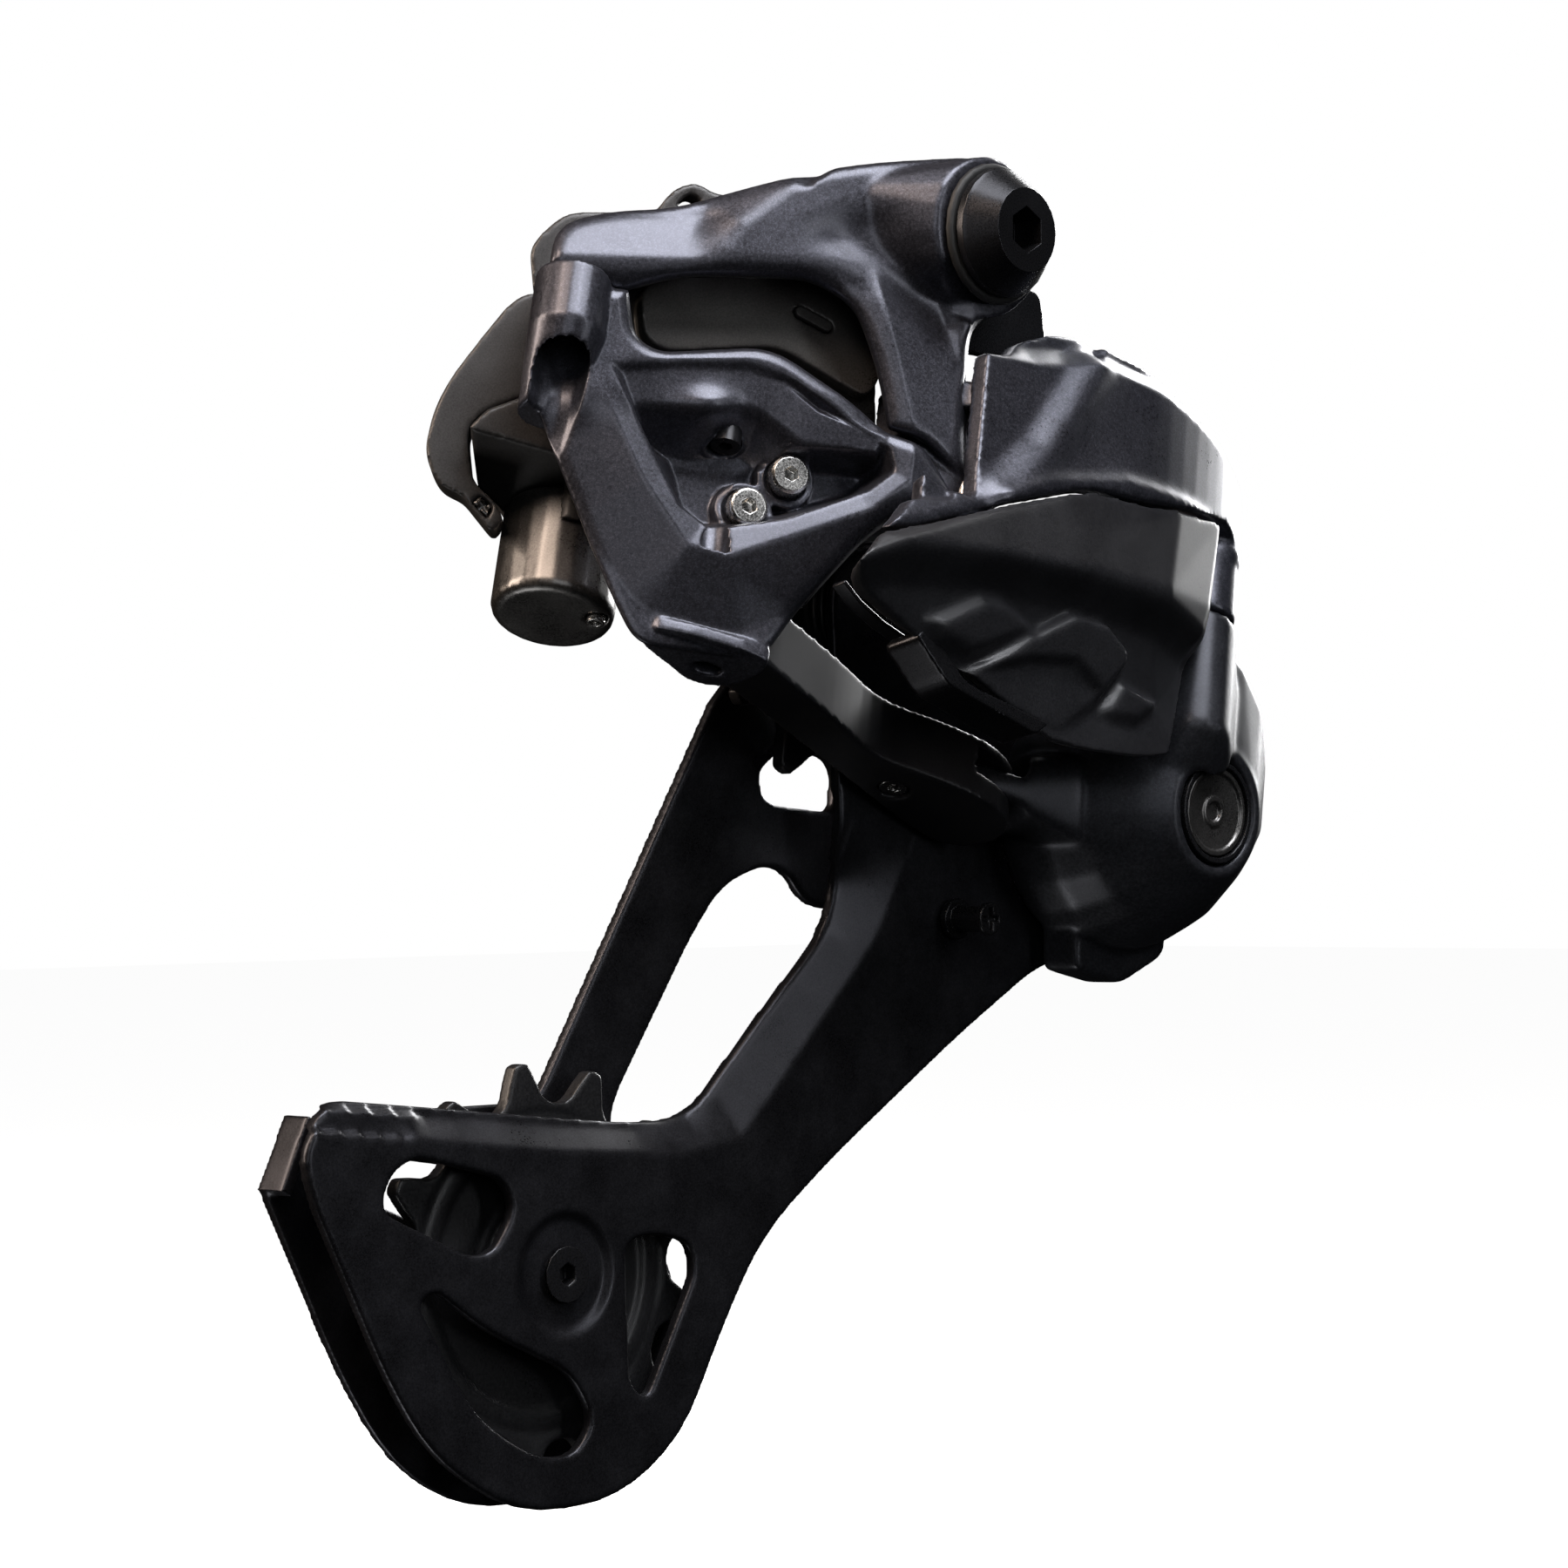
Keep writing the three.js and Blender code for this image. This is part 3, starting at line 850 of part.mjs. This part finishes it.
add("outer_link", outerLink(), PAINT, LINK);
add("battery_housing", batteryHousing(), PLASTIC, LINK);
add("battery", linkSide(batteryOutline(0), ...BATTERY_Y), DARK, LINK);
add("latch_lever", linkSide(leverOutline(0), ...LEVER_Y), PLASTIC, LINK);
add("contact_strip", contactStrip(), STEEL, LINK);
add("inner_link", innerLink(), PAINT, LINK);
add("inner_link_screw", screwUp(...LINK_SCREW, LINK_SCREW_R, INNER_LINK_Z[0] + 0.4, INNER_LINK_Z[0] + 2.3), STEEL, LINK);
add("outer_link_near_pin", rod(...OUTER_PIVOT, PIN_R, LOWER_EAR[0] + 0.4, UPPER_EAR[1] - 0.4), STEEL, LINK);
add("outer_link_far_pin", rod(...OUTER_FAR, PIN_R, OUTER_FAR_LUG[0] - 0.6, FAR_BARREL[1] - 3.3), STEEL, LINK);
add("inner_link_near_pin", rod(...INNER_PIVOT, PIN_R, INNER_LINK_Z[0] + 0.2, REAR_EAR_TOP + 3.6), STEEL, LINK);
add("inner_link_far_pin", rod(...INNER_FAR, PIN_R, INNER_LINK_Z[0] + 0.9, INNER_LINK_Z[1] - 0.4), STEEL, LINK);

export default derailleur;
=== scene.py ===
import json
import math

import bpy
import numpy as np
from mathutils import Matrix, Vector


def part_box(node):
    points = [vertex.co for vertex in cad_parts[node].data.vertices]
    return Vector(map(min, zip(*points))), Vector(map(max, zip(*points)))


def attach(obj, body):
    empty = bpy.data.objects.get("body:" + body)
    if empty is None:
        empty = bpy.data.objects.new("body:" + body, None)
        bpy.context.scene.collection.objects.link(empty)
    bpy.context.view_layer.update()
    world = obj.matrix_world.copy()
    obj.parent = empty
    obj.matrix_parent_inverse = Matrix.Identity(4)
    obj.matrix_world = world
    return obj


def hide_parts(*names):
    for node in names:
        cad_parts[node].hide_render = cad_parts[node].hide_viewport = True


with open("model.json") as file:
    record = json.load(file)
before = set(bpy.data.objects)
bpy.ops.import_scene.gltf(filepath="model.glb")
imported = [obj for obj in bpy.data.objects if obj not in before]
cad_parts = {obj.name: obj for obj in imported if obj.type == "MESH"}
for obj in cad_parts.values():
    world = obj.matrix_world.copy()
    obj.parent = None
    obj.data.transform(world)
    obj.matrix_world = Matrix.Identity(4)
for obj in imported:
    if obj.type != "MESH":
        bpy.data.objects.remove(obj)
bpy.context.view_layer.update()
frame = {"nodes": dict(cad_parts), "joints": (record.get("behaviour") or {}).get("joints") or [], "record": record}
MM = 0.001

# ---------------------------------------------------------------- camera
RIGHT = Vector((0.7133, -0.7008, -0.0125)).normalized()
BACK = Vector((-0.7008, -0.7131, -0.0175)).normalized()
UP = BACK.cross(RIGHT).normalized()
RIGHT = UP.cross(BACK).normalized()
EYE = Vector((-445.91, -429.38, -86.78)) * MM


def camera():
    data = bpy.data.cameras.new("camera")
    data.lens = 100
    data.sensor_width = 36
    data.clip_start = 0.01
    made = bpy.data.objects.new("camera", data)
    bpy.context.scene.collection.objects.link(made)
    made.matrix_world = Matrix((RIGHT, UP, BACK)).transposed().to_4x4()
    made.location = EYE
    bpy.context.scene.camera = made


camera()


# ---------------------------------------------------------------- materials
def material(name, base, spread=0.25, grain=2200.0, rough=0.4, rough_spread=0.06, metallic=0.0,
             coat=0.0, coat_rough=0.2, bump=0.0, bump_size=0.05, specular=0.5, patch=90.0,
             patch_spread=0.12, flakes=0.0, flake_size=4500.0):
    """A solid-textured finish. base is linear RGB, grain, patch and flake_size are cells per metre,
    and bump_size is in millimetres."""
    made = bpy.data.materials.new(name)
    made.use_nodes = True
    nodes, links = made.node_tree.nodes, made.node_tree.links
    nodes.clear()
    out = nodes.new("ShaderNodeOutputMaterial")
    shader = nodes.new("ShaderNodeBsdfPrincipled")
    links.new(shader.outputs["BSDF"], out.inputs["Surface"])
    shader.inputs["Metallic"].default_value = metallic
    shader.inputs["Coat Weight"].default_value = coat
    shader.inputs["Coat Roughness"].default_value = coat_rough
    shader.inputs["Specular IOR Level"].default_value = specular
    place = nodes.new("ShaderNodeTexCoord")

    fine = nodes.new("ShaderNodeTexNoise")
    fine.inputs["Scale"].default_value = grain
    fine.inputs["Detail"].default_value = 3
    links.new(place.outputs["Object"], fine.inputs["Vector"])
    broad = nodes.new("ShaderNodeTexNoise")
    broad.inputs["Scale"].default_value = patch
    broad.inputs["Detail"].default_value = 6
    broad.inputs["Roughness"].default_value = 0.6
    links.new(place.outputs["Object"], broad.inputs["Vector"])

    def ramp(source, low, high, start=0.3, end=0.7):
        made_ramp = nodes.new("ShaderNodeMapRange")
        made_ramp.inputs["From Min"].default_value = start
        made_ramp.inputs["From Max"].default_value = end
        made_ramp.inputs["To Min"].default_value = low
        made_ramp.inputs["To Max"].default_value = high
        links.new(source, made_ramp.inputs["Value"])
        return made_ramp.outputs["Result"]

    def combined(operation, a, b):
        made_math = nodes.new("ShaderNodeMath")
        made_math.operation = operation
        links.new(a, made_math.inputs[0])
        links.new(b, made_math.inputs[1])
        return made_math.outputs["Value"]

    def product(a, b):
        return combined("MULTIPLY", a, b)

    def total(a, b):
        return combined("ADD", a, b)

    light = product(ramp(fine.outputs["Fac"], 1 - spread, 1 + spread),
                    ramp(broad.outputs["Fac"], 1 - patch_spread, 1 + patch_spread))
    height = fine.outputs["Fac"]
    if flakes:
        flake = nodes.new("ShaderNodeTexVoronoi")
        flake.inputs["Scale"].default_value = flake_size
        links.new(place.outputs["Object"], flake.inputs["Vector"])
        split = nodes.new("ShaderNodeSeparateColor")
        links.new(flake.outputs["Color"], split.inputs["Color"])
        glint = ramp(split.outputs["Red"], 1 - 0.4 * flakes, 1 + 2.2 * flakes, 0.55, 1.0)
        light = product(light, glint)
        height = total(height, ramp(split.outputs["Green"], 0, flakes, 0, 1))
    colour = nodes.new("ShaderNodeVectorMath")
    colour.operation = "SCALE"
    colour.inputs[0].default_value = base
    links.new(light, colour.inputs["Scale"])
    links.new(colour.outputs["Vector"], shader.inputs["Base Color"])
    both = total(ramp(fine.outputs["Fac"], rough - rough_spread, rough + rough_spread),
                 ramp(broad.outputs["Fac"], -rough_spread, rough_spread))
    links.new(both, shader.inputs["Roughness"])
    if bump:
        relief = nodes.new("ShaderNodeBump")
        relief.inputs["Strength"].default_value = bump
        relief.inputs["Distance"].default_value = bump_size * MM
        links.new(height, relief.inputs["Height"])
        links.new(relief.outputs["Normal"], shader.inputs["Normal"])
    return made


FINISH = {
    "paint": material("casting_paint", (0.060, 0.061, 0.075), metallic=0.7, rough=0.36, flakes=0.22,
                      flake_size=7000.0, coat=0.2, coat_rough=0.25, bump=0.2, bump_size=0.012),
    "plastic": material("moulded_plastic", (0.018, 0.018, 0.020), rough=0.38, grain=3600, bump=0.22,
                        bump_size=0.02, specular=0.45),
    "dark": material("black_finish", (0.018, 0.018, 0.020), metallic=0.5, rough=0.3, grain=3600,
                     bump=0.2, bump_size=0.015),
    "anodised": material("black_anodised", (0.030, 0.030, 0.033), metallic=0.8, rough=0.32, grain=5000,
                         bump=0.25, bump_size=0.012, patch=60),
    "plate": material("anodised_sheet", (0.036, 0.036, 0.041), metallic=0.8, rough=0.34, rough_spread=0.05,
                      grain=4200, bump=0.25, bump_size=0.012, patch=130, patch_spread=0.22),
    "steel": material("bright_steel", (0.55, 0.54, 0.52), metallic=1.0, rough=0.25, grain=4000, bump=0.15,
                      bump_size=0.01),
    "pulley": material("wheel_plastic", (0.012, 0.012, 0.013), rough=0.36, grain=2600, bump=0.35,
                       bump_size=0.04),
    "rubber": material("seal_rubber", (0.012, 0.012, 0.012), rough=0.6, grain=3000, bump=0.3,
                       bump_size=0.04),
    "brass": material("bearing_metal", (0.36, 0.30, 0.15), metallic=1.0, rough=0.35, grain=3000, bump=0.2,
                      bump_size=0.02),
    "satin": material("satin_metal", (0.16, 0.155, 0.15), metallic=0.9, rough=0.33, grain=4000, bump=0.2,
                      bump_size=0.012),
}
# Nodes drawn with a material other than their slot's. The case and cover finishes are their own colours; the link
# and knuckle paints are darker copies of the casting paint, painted shade.
OWN_AND_SHADED = {
    "motor_unit_case": material("case_finish", (0.060, 0.056, 0.052), metallic=0.35, rough=0.36,
                                grain=4200, bump=0.2, bump_size=0.012),
    # Darker copy of the casting paint: painted shade on the inner link, whose faces turn down away from the light.
    "inner_link": material("link_paint_painted_shade", (0.020, 0.020, 0.023), metallic=0.4, rough=0.42, grain=3800,
                           bump=0.2, bump_size=0.012),
    # Darker copy of the casting paint: painted shade on the knuckle, which sits low, away from the light.
    "p_knuckle": material("knuckle_paint_painted_shade", (0.034, 0.035, 0.041), metallic=0.6, rough=0.40, flakes=0.12,
                          flake_size=7000.0, bump=0.2, bump_size=0.012),
    "inner_cover": material("cover_finish", (0.050, 0.048, 0.047), metallic=0.35, rough=0.38, grain=4200,
                            bump=0.2, bump_size=0.012),
}
OWN_AND_SHADED["contact_strip"] = OWN_AND_SHADED["latch_lever"] = FINISH["anodised"]
OWN_AND_SHADED["gear_housing"] = OWN_AND_SHADED["top_cover"] = OWN_AND_SHADED["inner_cover"]
OWN_AND_SHADED["function_button"] = OWN_AND_SHADED["motor_unit_case"]
SLOT = {s["node"]: s["material_slot"] for s in frame["record"]["subparts"]}
BODY = {n: b for b, members in frame["record"]["behaviour"]["bodies"].items() for n in members}


def paint(obj, node):
    obj.data.materials.clear()
    obj.data.materials.append(OWN_AND_SHADED.get(node) or FINISH[SLOT[node]])


# ---------------------------------------------------------------- frames and field helpers
JOINT = {j["name"]: j for j in frame["joints"]}


def face_frame():
    out = -np.array(JOINT["button_press"]["axis"], float)
    out /= np.linalg.norm(out)
    up = np.array([0, 0, 1.0]) - out * out[2]
    up /= np.linalg.norm(up)
    return np.array([np.cross(up, out), up, out])


def link_frame():
    along = np.array(JOINT["outer_link_swing"]["axis"], float)
    along /= np.linalg.norm(along)
    inboard = np.array([0, 1.0, 0]) - along[1] * along
    inboard /= np.linalg.norm(inboard)
    return np.array([np.cross(inboard, along), inboard, along])


FACE, LINK, ROW = face_frame(), link_frame(), np.eye(3)


def smooth(t):
    t = np.clip(t, 0, 1)
    return t * t * (3 - 2 * t)


def off(xy, line, closed=False):
    """Distance from an open line, positive on its left, or from a closed outline, positive inside."""
    a = np.array(line, float)
    b = np.roll(a, -1, 0) if closed else a[1:]
    a = a if closed else a[:-1]
    best, side = np.full(len(xy), 1e9), np.ones(len(xy))
    crossings = np.zeros(len(xy), bool)
    for p, q in zip(a, b):
        d = q - p
        r = xy - p
        t = np.clip(r @ d / (d @ d), 0, 1)
        gap = np.linalg.norm(r - t[:, None] * d, axis=1)
        nearer = gap < best
        cross = d[0] * r[:, 1] - d[1] * r[:, 0]
        side = np.where(nearer, np.where(cross >= 0, 1.0, -1.0), side)
        best = np.where(nearer, gap, best)
        if closed:
            spans = (p[1] > xy[:, 1]) != (q[1] > xy[:, 1])
            with np.errstate(divide="ignore", invalid="ignore"):
                at_x = p[0] + (xy[:, 1] - p[1]) * d[0] / d[1]
            crossings ^= spans & (xy[:, 0] < at_x)
    return best * (np.where(crossings, 1.0, -1.0) if closed else side)


# ---------------------------------------------------------------- sculpted surfaces
# Lines and outlines are in millimetres, in the frame that FORM names for the node. The bracket, link and
# housing forms move the outer face only. The cage plate's moves the whole sheet, and the wheel's draws in
# both faces.
U_RIDGE = [(-9.8, -9.7), (-8.8, -17.9), (-7.0, -30.4), (-6.5, -33.5)]
U_VALLEY = [(-16.4, -1.1), (-10.5, -6.0), (-4.6, -11.5), (0.8, -15.7)]
U_TWIST = [(-20.7, 1.3), (-28.0, -4.1), (-30.2, -7.6)]


def upper_bracket_form(p, n):
    xy, z = p[:, :2], p[:, 2]
    ridge = off(xy, U_RIDGE)
    below = smooth((-8 - xy[:, 1]) / 5)
    depth = below * np.where(ridge > 0, np.minimum(0.30 * ridge, 3), np.minimum(-0.28 * ridge, 2))
    arm = smooth(-off(xy, U_TWIST) / 7)
    depth += arm * np.clip(0.34 * (xy[:, 1] + 10.5), 0, 3)
    valley = np.exp(-(off(xy, U_VALLEY) / 4.2) ** 2)
    depth += 1.5 * valley * smooth((-1.5 - xy[:, 1] + 0.4 * xy[:, 0] + 8) / 6)
    p[:, 2] -= depth * np.clip((z - 8) / 9, 0, 1)


L_CREASE = [(-52.8, -23.5), (-49.9, -30.2), (-45.8, -40.4), (-40.5, -49.4), (-34.5, -50.8),
            (-14.0, -44.2), (-7.9, -39.8), (-6.5, -33.5)]
HOOD = [(-49.0, -24.4), (-40, -23.6), (-29.6, -23.6), (-24.7, -25.2), (-19.5, -29.4), (-10.6, -33.4),
        (-11.4, -36.4), (-24, -35.6), (-30, -37.4), (-38.5, -36.6), (-44.4, -33.4)]
HOOD_TOP = [(-50, -24.2), (-45.6, -23.4), (-38.3, -23.4), (-29.6, -23.2), (-24.7, -24.8),
            (-19.5, -29.0), (-10.0, -32.4)]


def screw_off(p):
    """Distance from the dome screw's axis, for points in the face frame."""
    low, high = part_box("dome_screw")
    centre = FACE @ np.array((low + high) / 2) * 1000
    along = FACE @ LINK[2]
    gap = p - centre
    return np.linalg.norm(gap - (gap @ along)[:, None] * along, axis=1)


def lower_bracket_form(p, n):
    xy, z = p[:, :2], p[:, 2].copy()
    crease = off(xy, L_CREASE)
    low = smooth((-27 - xy[:, 1]) / 7)
    depth = low * np.where(crease < 0, np.minimum(-0.42 * crease, 4), np.minimum(0.22 * crease, 1.4))
    hood = off(xy, HOOD, closed=True)
    front = (n[:, 2] > -0.2) & (z > 7) & (hood > -0.6)
    down = -off(xy, HOOD_TOP)
    crown = 16.3 - 0.16 * down - 5.6 * smooth((down - 5.2) / 6.5)
    crown += 2.2 * np.exp(-(((xy[:, 0] + 35.6) / 4.4) ** 2 + ((xy[:, 1] + 31.0) / 3.4) ** 2))
    weight = smooth((hood + 0.6) / 1.6) * smooth((screw_off(p) - 2.5) / 0.7)
    p[:, 2] -= depth * np.clip((z - 7) / 10, 0, 1) * (1 - np.where(front, weight, 0))
    p[:, 2] = np.where(front, p[:, 2] * (1 - weight) + np.maximum(crown, 9.2) * weight, p[:, 2])


O_CREASE = [(25.2, -12.8), (21.6, -21.1), (16.0, -33.0), (9.3, -43.1)]
O_TOP = [(-3.4, -24.2), (13.3, -18.2), (20.9, -14.4), (26.3, -11.9), (38.9, -9.6), (52.7, -8.6), (66, -9)]
O_LOW = [(-17.0, -61.7), (-6.0, -55.3), (6.8, -46.2), (18.4, -37.8), (32.7, -30.3), (46.7, -26.0), (66, -22)]


def outer_link_form(p, n):
    xz, y = p[:, [0, 2]], p[:, 1]
    crease = off(xz, O_CREASE)
    depth = 2.0 * smooth(-crease / 5.5) + 0.5 * smooth(crease / 4) * smooth((14 - crease) / 8)
    depth += np.clip(0.6 * off(xz, O_TOP), 0, 1.8)
    low = off(xz, O_LOW)
    depth -= 0.5 * np.exp(-((low - 1.6) / 1.3) ** 2)
    p[:, 1] += depth * np.clip((-9 - y) / 5, 0, 1)


B_RIDGE = [(-22.4, -70.8), (-18.7, -66.4), (-10.5, -60.9), (7.0, -53.0), (25.6, -46.5), (45.3, -40.4),
           (52.5, -38.9), (60, -38)]
B_LEFT = [(-1.1, -65.5), (8.4, -57.0), (12.9, -55.3), (22.6, -55.2), (21.1, -59.4), (10.6, -67.6),
          (3.3, -68.6)]
B_DISC = [(22.6, -55.2), (27.0, -51.1), (34.7, -48.8), (41.5, -49.6), (42.2, -52.1), (38.8, -59.5),
          (32.7, -67.0), (20.4, -70.1), (9.0, -69.4)]
B_PANEL = [(8.9, -69.1), (21.3, -60.9), (30.6, -56.6), (37.6, -57.3), (38.8, -58.8), (32.7, -67.0),
           (22.2, -69.2)]
B_RIGHT = [(38.9, -60.2), (42.2, -52.8), (52.4, -51.3), (52.9, -53.1), (48.9, -58.0), (43.0, -60.3)]


def battery_housing_form(p, n):
    xz, y = p[:, [0, 2]], p[:, 1]
    ridge = off(xz, B_RIDGE)
    depth = 3.4 * smooth(-ridge / 5.0)
    depth -= 1.9 * smooth(off(xz, B_LEFT, True) / 3.0)
    depth -= 2.4 * smooth((off(xz, B_DISC, True) + 0.5) / 2.0)
    depth += 0.9 * smooth((off(xz, B_PANEL, True) + 0.3) / 1.0)
    depth -= 1.6 * smooth(off(xz, B_RIGHT, True) / 2.2)
    p[:, 1] += depth * np.clip((-9.5 - y) / 4, 0, 1)


C_IN = [(-8.3, -89.7), (-10.2, -96.4), (-16.4, -103.0), (-31.8, -117.0), (-36.8, -121.5), (-46.5, -122.8),
        (-62.2, -121.4), (-83.2, -119.2)]
C_OUT = [(5.1, -86.7), (-0.5, -96.6), (-2.3, -99.1), (-23.5, -120.4), (-28.6, -124.9), (-40.2, -126.7),
         (-62.3, -125.0), (-86.2, -122.1)]
TENSION = np.array(JOINT["tension_pulley_spin"]["pos_m"], float)[[0, 2]] * 1000


def outer_cage_plate_form(p, n):
    xz = p[:, [0, 2]]
    outer, inner = off(xz, C_OUT), off(xz, C_IN)
    share = np.clip(-outer / np.maximum(inner - outer, 0.01), 0, 1)
    share = np.where(inner < 0, 1.0, np.where(outer > 0, 0.0, share))
    p[:, 1] += 2.6 * share * smooth((-80 - xz[:, 1]) / 12)
    radius = np.linalg.norm(xz - TENSION, axis=1)
    p[:, 1] += 0.7 * (1 - smooth((radius - 7.2) / 1.3))


def wheel_form(axis):
    low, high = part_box(axis + "_wheel")
    centre = np.array((low + high) / 2) * 1000

    def form(p, n):
        radius = np.linalg.norm(p[:, [0, 2]] - centre[[0, 2]], axis=1)
        web = smooth((radius - 10.6) / 1.0) * smooth((19.0 - radius) / 1.4)
        groove = np.exp(-((radius - 21.2) / 0.7) ** 2)
        p[:, 1] = centre[1] + (p[:, 1] - centre[1]) * (1 - 0.42 * web - 0.16 * groove)
    return form


FORM = {
    "guide_pulley_wheel": (ROW, wheel_form("guide_pulley")),
    "tension_pulley_wheel": (ROW, wheel_form("tension_pulley")),
    "upper_bracket": (FACE, upper_bracket_form),
    "lower_bracket": (FACE, lower_bracket_form),
    "outer_link": (LINK, outer_link_form),
    "battery_housing": (LINK, battery_housing_form),
    "outer_cage_plate": (ROW, outer_cage_plate_form),
}


# ---------------------------------------------------------------- pieces
def applied(piece):
    """The piece's mesh with its modifiers worked in."""
    bpy.context.view_layer.update()
    ready = piece.evaluated_get(bpy.context.evaluated_depsgraph_get())
    mesh = bpy.data.meshes.new_from_object(ready)
    piece.modifiers.clear()
    piece.data = mesh
    return mesh


def cast(node, voxel=0.45, rounds=6, factor=0.5):
    """A cast or moulded piece: the node's solid with its sculpted surface and rounded edges."""
    piece = bpy.data.objects.new(node + "_cast", frame["nodes"][node].data.copy())
    bpy.context.scene.collection.objects.link(piece)
    weld = piece.modifiers.new("weld", "WELD")
    weld.merge_threshold = 0.002 * MM
    remesh = piece.modifiers.new("remesh", "REMESH")
    remesh.mode = "VOXEL"
    remesh.voxel_size = voxel * MM
    mesh = applied(piece)
    if node in FORM:
        basis, form = FORM[node]
        points = np.empty(len(mesh.vertices) * 3)
        mesh.vertices.foreach_get("co", points)
        normals = np.empty(len(mesh.vertices) * 3)
        mesh.vertices.foreach_get("normal", normals)
        local = points.reshape(-1, 3) @ basis.T * 1000
        form(local, normals.reshape(-1, 3) @ basis.T)
        mesh.vertices.foreach_set("co", (local @ basis / 1000).ravel())
        mesh.update()
    soften = piece.modifiers.new("soften", "SMOOTH")
    soften.factor = factor
    soften.iterations = rounds
    mesh = applied(piece)
    mesh.polygons.foreach_set("use_smooth", [True] * len(mesh.polygons))
    paint(piece, node)
    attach(piece, BODY[node])
    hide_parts(node)
    return piece


def machined(node, width=0.25, segments=2):
    """A turned or milled piece: the node itself, with its edges broken."""
    piece = frame["nodes"][node]
    piece.data.polygons.foreach_set("use_smooth", [True] * len(piece.data.polygons))
    weld = piece.modifiers.new("weld", "WELD")
    weld.merge_threshold = 0.002 * MM
    flat = piece.modifiers.new("flat", "DECIMATE")
    flat.decimate_type = "DISSOLVE"
    flat.angle_limit = math.radians(1)
    if width:
        bevel = piece.modifiers.new("bevel", "BEVEL")
        bevel.width = width * MM
        bevel.segments = segments
        bevel.limit_method = "ANGLE"
        bevel.angle_limit = math.radians(28)
        bevel.use_clamp_overlap = True
    even = piece.modifiers.new("even", "WEIGHTED_NORMAL")
    even.keep_sharp = True
    paint(piece, node)
    return piece


# Voxel size in millimetres and smoothing rounds.
CASTINGS = {
    "upper_bracket": (0.45, 6),
    "lower_bracket": (0.26, 12),
    "p_knuckle": (0.45, 24),
    "outer_link": (0.45, 6),
    "battery_housing": (0.45, 6),
    "inner_link": (0.35, 4),
    "motor_unit_case": (0.3, 4),
    "inner_cover": (0.4, 4),
    "top_cover": (0.4, 4),
    "gear_housing": (0.4, 6),
    "motor_can": (0.35, 5),
    "outer_cage_plate": (0.4, 5),
    "inner_cage_plate": (0.4, 4),
    "guide_pulley_wheel": (0.32, 4),
    "tension_pulley_wheel": (0.32, 4),
    "latch_lever": (0.3, 2),
    "stop_plate": (0.35, 3),
}
for name in sorted(frame["nodes"]):
    if name in CASTINGS:
        cast(name, *CASTINGS[name])
    else:
        machined(name)


# ---------------------------------------------------------------- studio
CENTRE = Vector((-10, 0, -80)) * MM


def at(x, y, z):
    return CENTRE + RIGHT * x + UP * y + BACK * z


def softbox(name, place, size, power, colour=(1, 1, 1), aim=CENTRE):
    data = bpy.data.lights.new(name, "AREA")
    data.shape = "RECTANGLE"
    data.size, data.size_y = size
    data.energy = power
    data.color = colour
    made = bpy.data.objects.new(name, data)
    bpy.context.scene.collection.objects.link(made)
    made.location = place
    made.rotation_euler = (aim - place).to_track_quat("-Z", "Y").to_euler()
    made.visible_camera = False
    return made


softbox("rim_right", at(0.42, 0.30, -0.72), (0.25, 0.50), 9)
softbox("top", at(0.30, 0.78, 0.22), (0.50, 0.45), 8, (0.93, 0.95, 1.0))
softbox("top_warm", at(-0.30, 0.68, 0.42), (0.35, 0.35), 4.5, (1.0, 0.80, 0.66))
softbox("left_warm", at(-0.72, 0.30, 0.12), (0.20, 0.50), 4.5, (1.0, 0.82, 0.68))
softbox("front", at(0.10, 0.25, 0.80), (0.35, 0.5), 0.7, (0.92, 0.95, 1.0))
softbox("strip_right", at(0.60, 0.20, 0.40), (0.06, 0.6), 0.8, (0.95, 0.97, 1.0))
softbox("below", at(-0.30, -0.60, 0.10), (0.30, 0.20), 0.7)

FLOOR_Z = -0.262
FLOOR_REACH = 6.0
floor_mesh = bpy.data.meshes.new("floor")
corners = [(x * FLOOR_REACH, y * FLOOR_REACH, FLOOR_Z) for x, y in ((-1, -1), (1, -1), (1, 1), (-1, 1))]
floor_mesh.from_pydata(corners, [], [(0, 1, 2, 3)])
floor = bpy.data.objects.new("floor", floor_mesh)
bpy.context.scene.collection.objects.link(floor)
floor_material = bpy.data.materials.new("floor")
floor_material.use_nodes = True
floor_shader = floor_material.node_tree.nodes["Principled BSDF"]
floor_shader.inputs["Base Color"].default_value = (0.85, 0.85, 0.85, 1)
floor_shader.inputs["Roughness"].default_value = 0.9
floor_shader.inputs["Emission Color"].default_value = (1, 1, 1, 1)
floor_shader.inputs["Emission Strength"].default_value = 0.97
floor_mesh.materials.append(floor_material)
floor.visible_diffuse = False
floor.visible_glossy = False
floor.visible_shadow = False

world = bpy.data.worlds.new("studio")
bpy.context.scene.world = world
world.use_nodes = True
world.node_tree.nodes["Background"].inputs["Color"].default_value = (1, 1, 1, 1)
world.node_tree.nodes["Background"].inputs["Strength"].default_value = 1.0
world.cycles_visibility.diffuse = False
world.cycles_visibility.glossy = False
bpy.context.scene.view_settings.view_transform = "Standard"
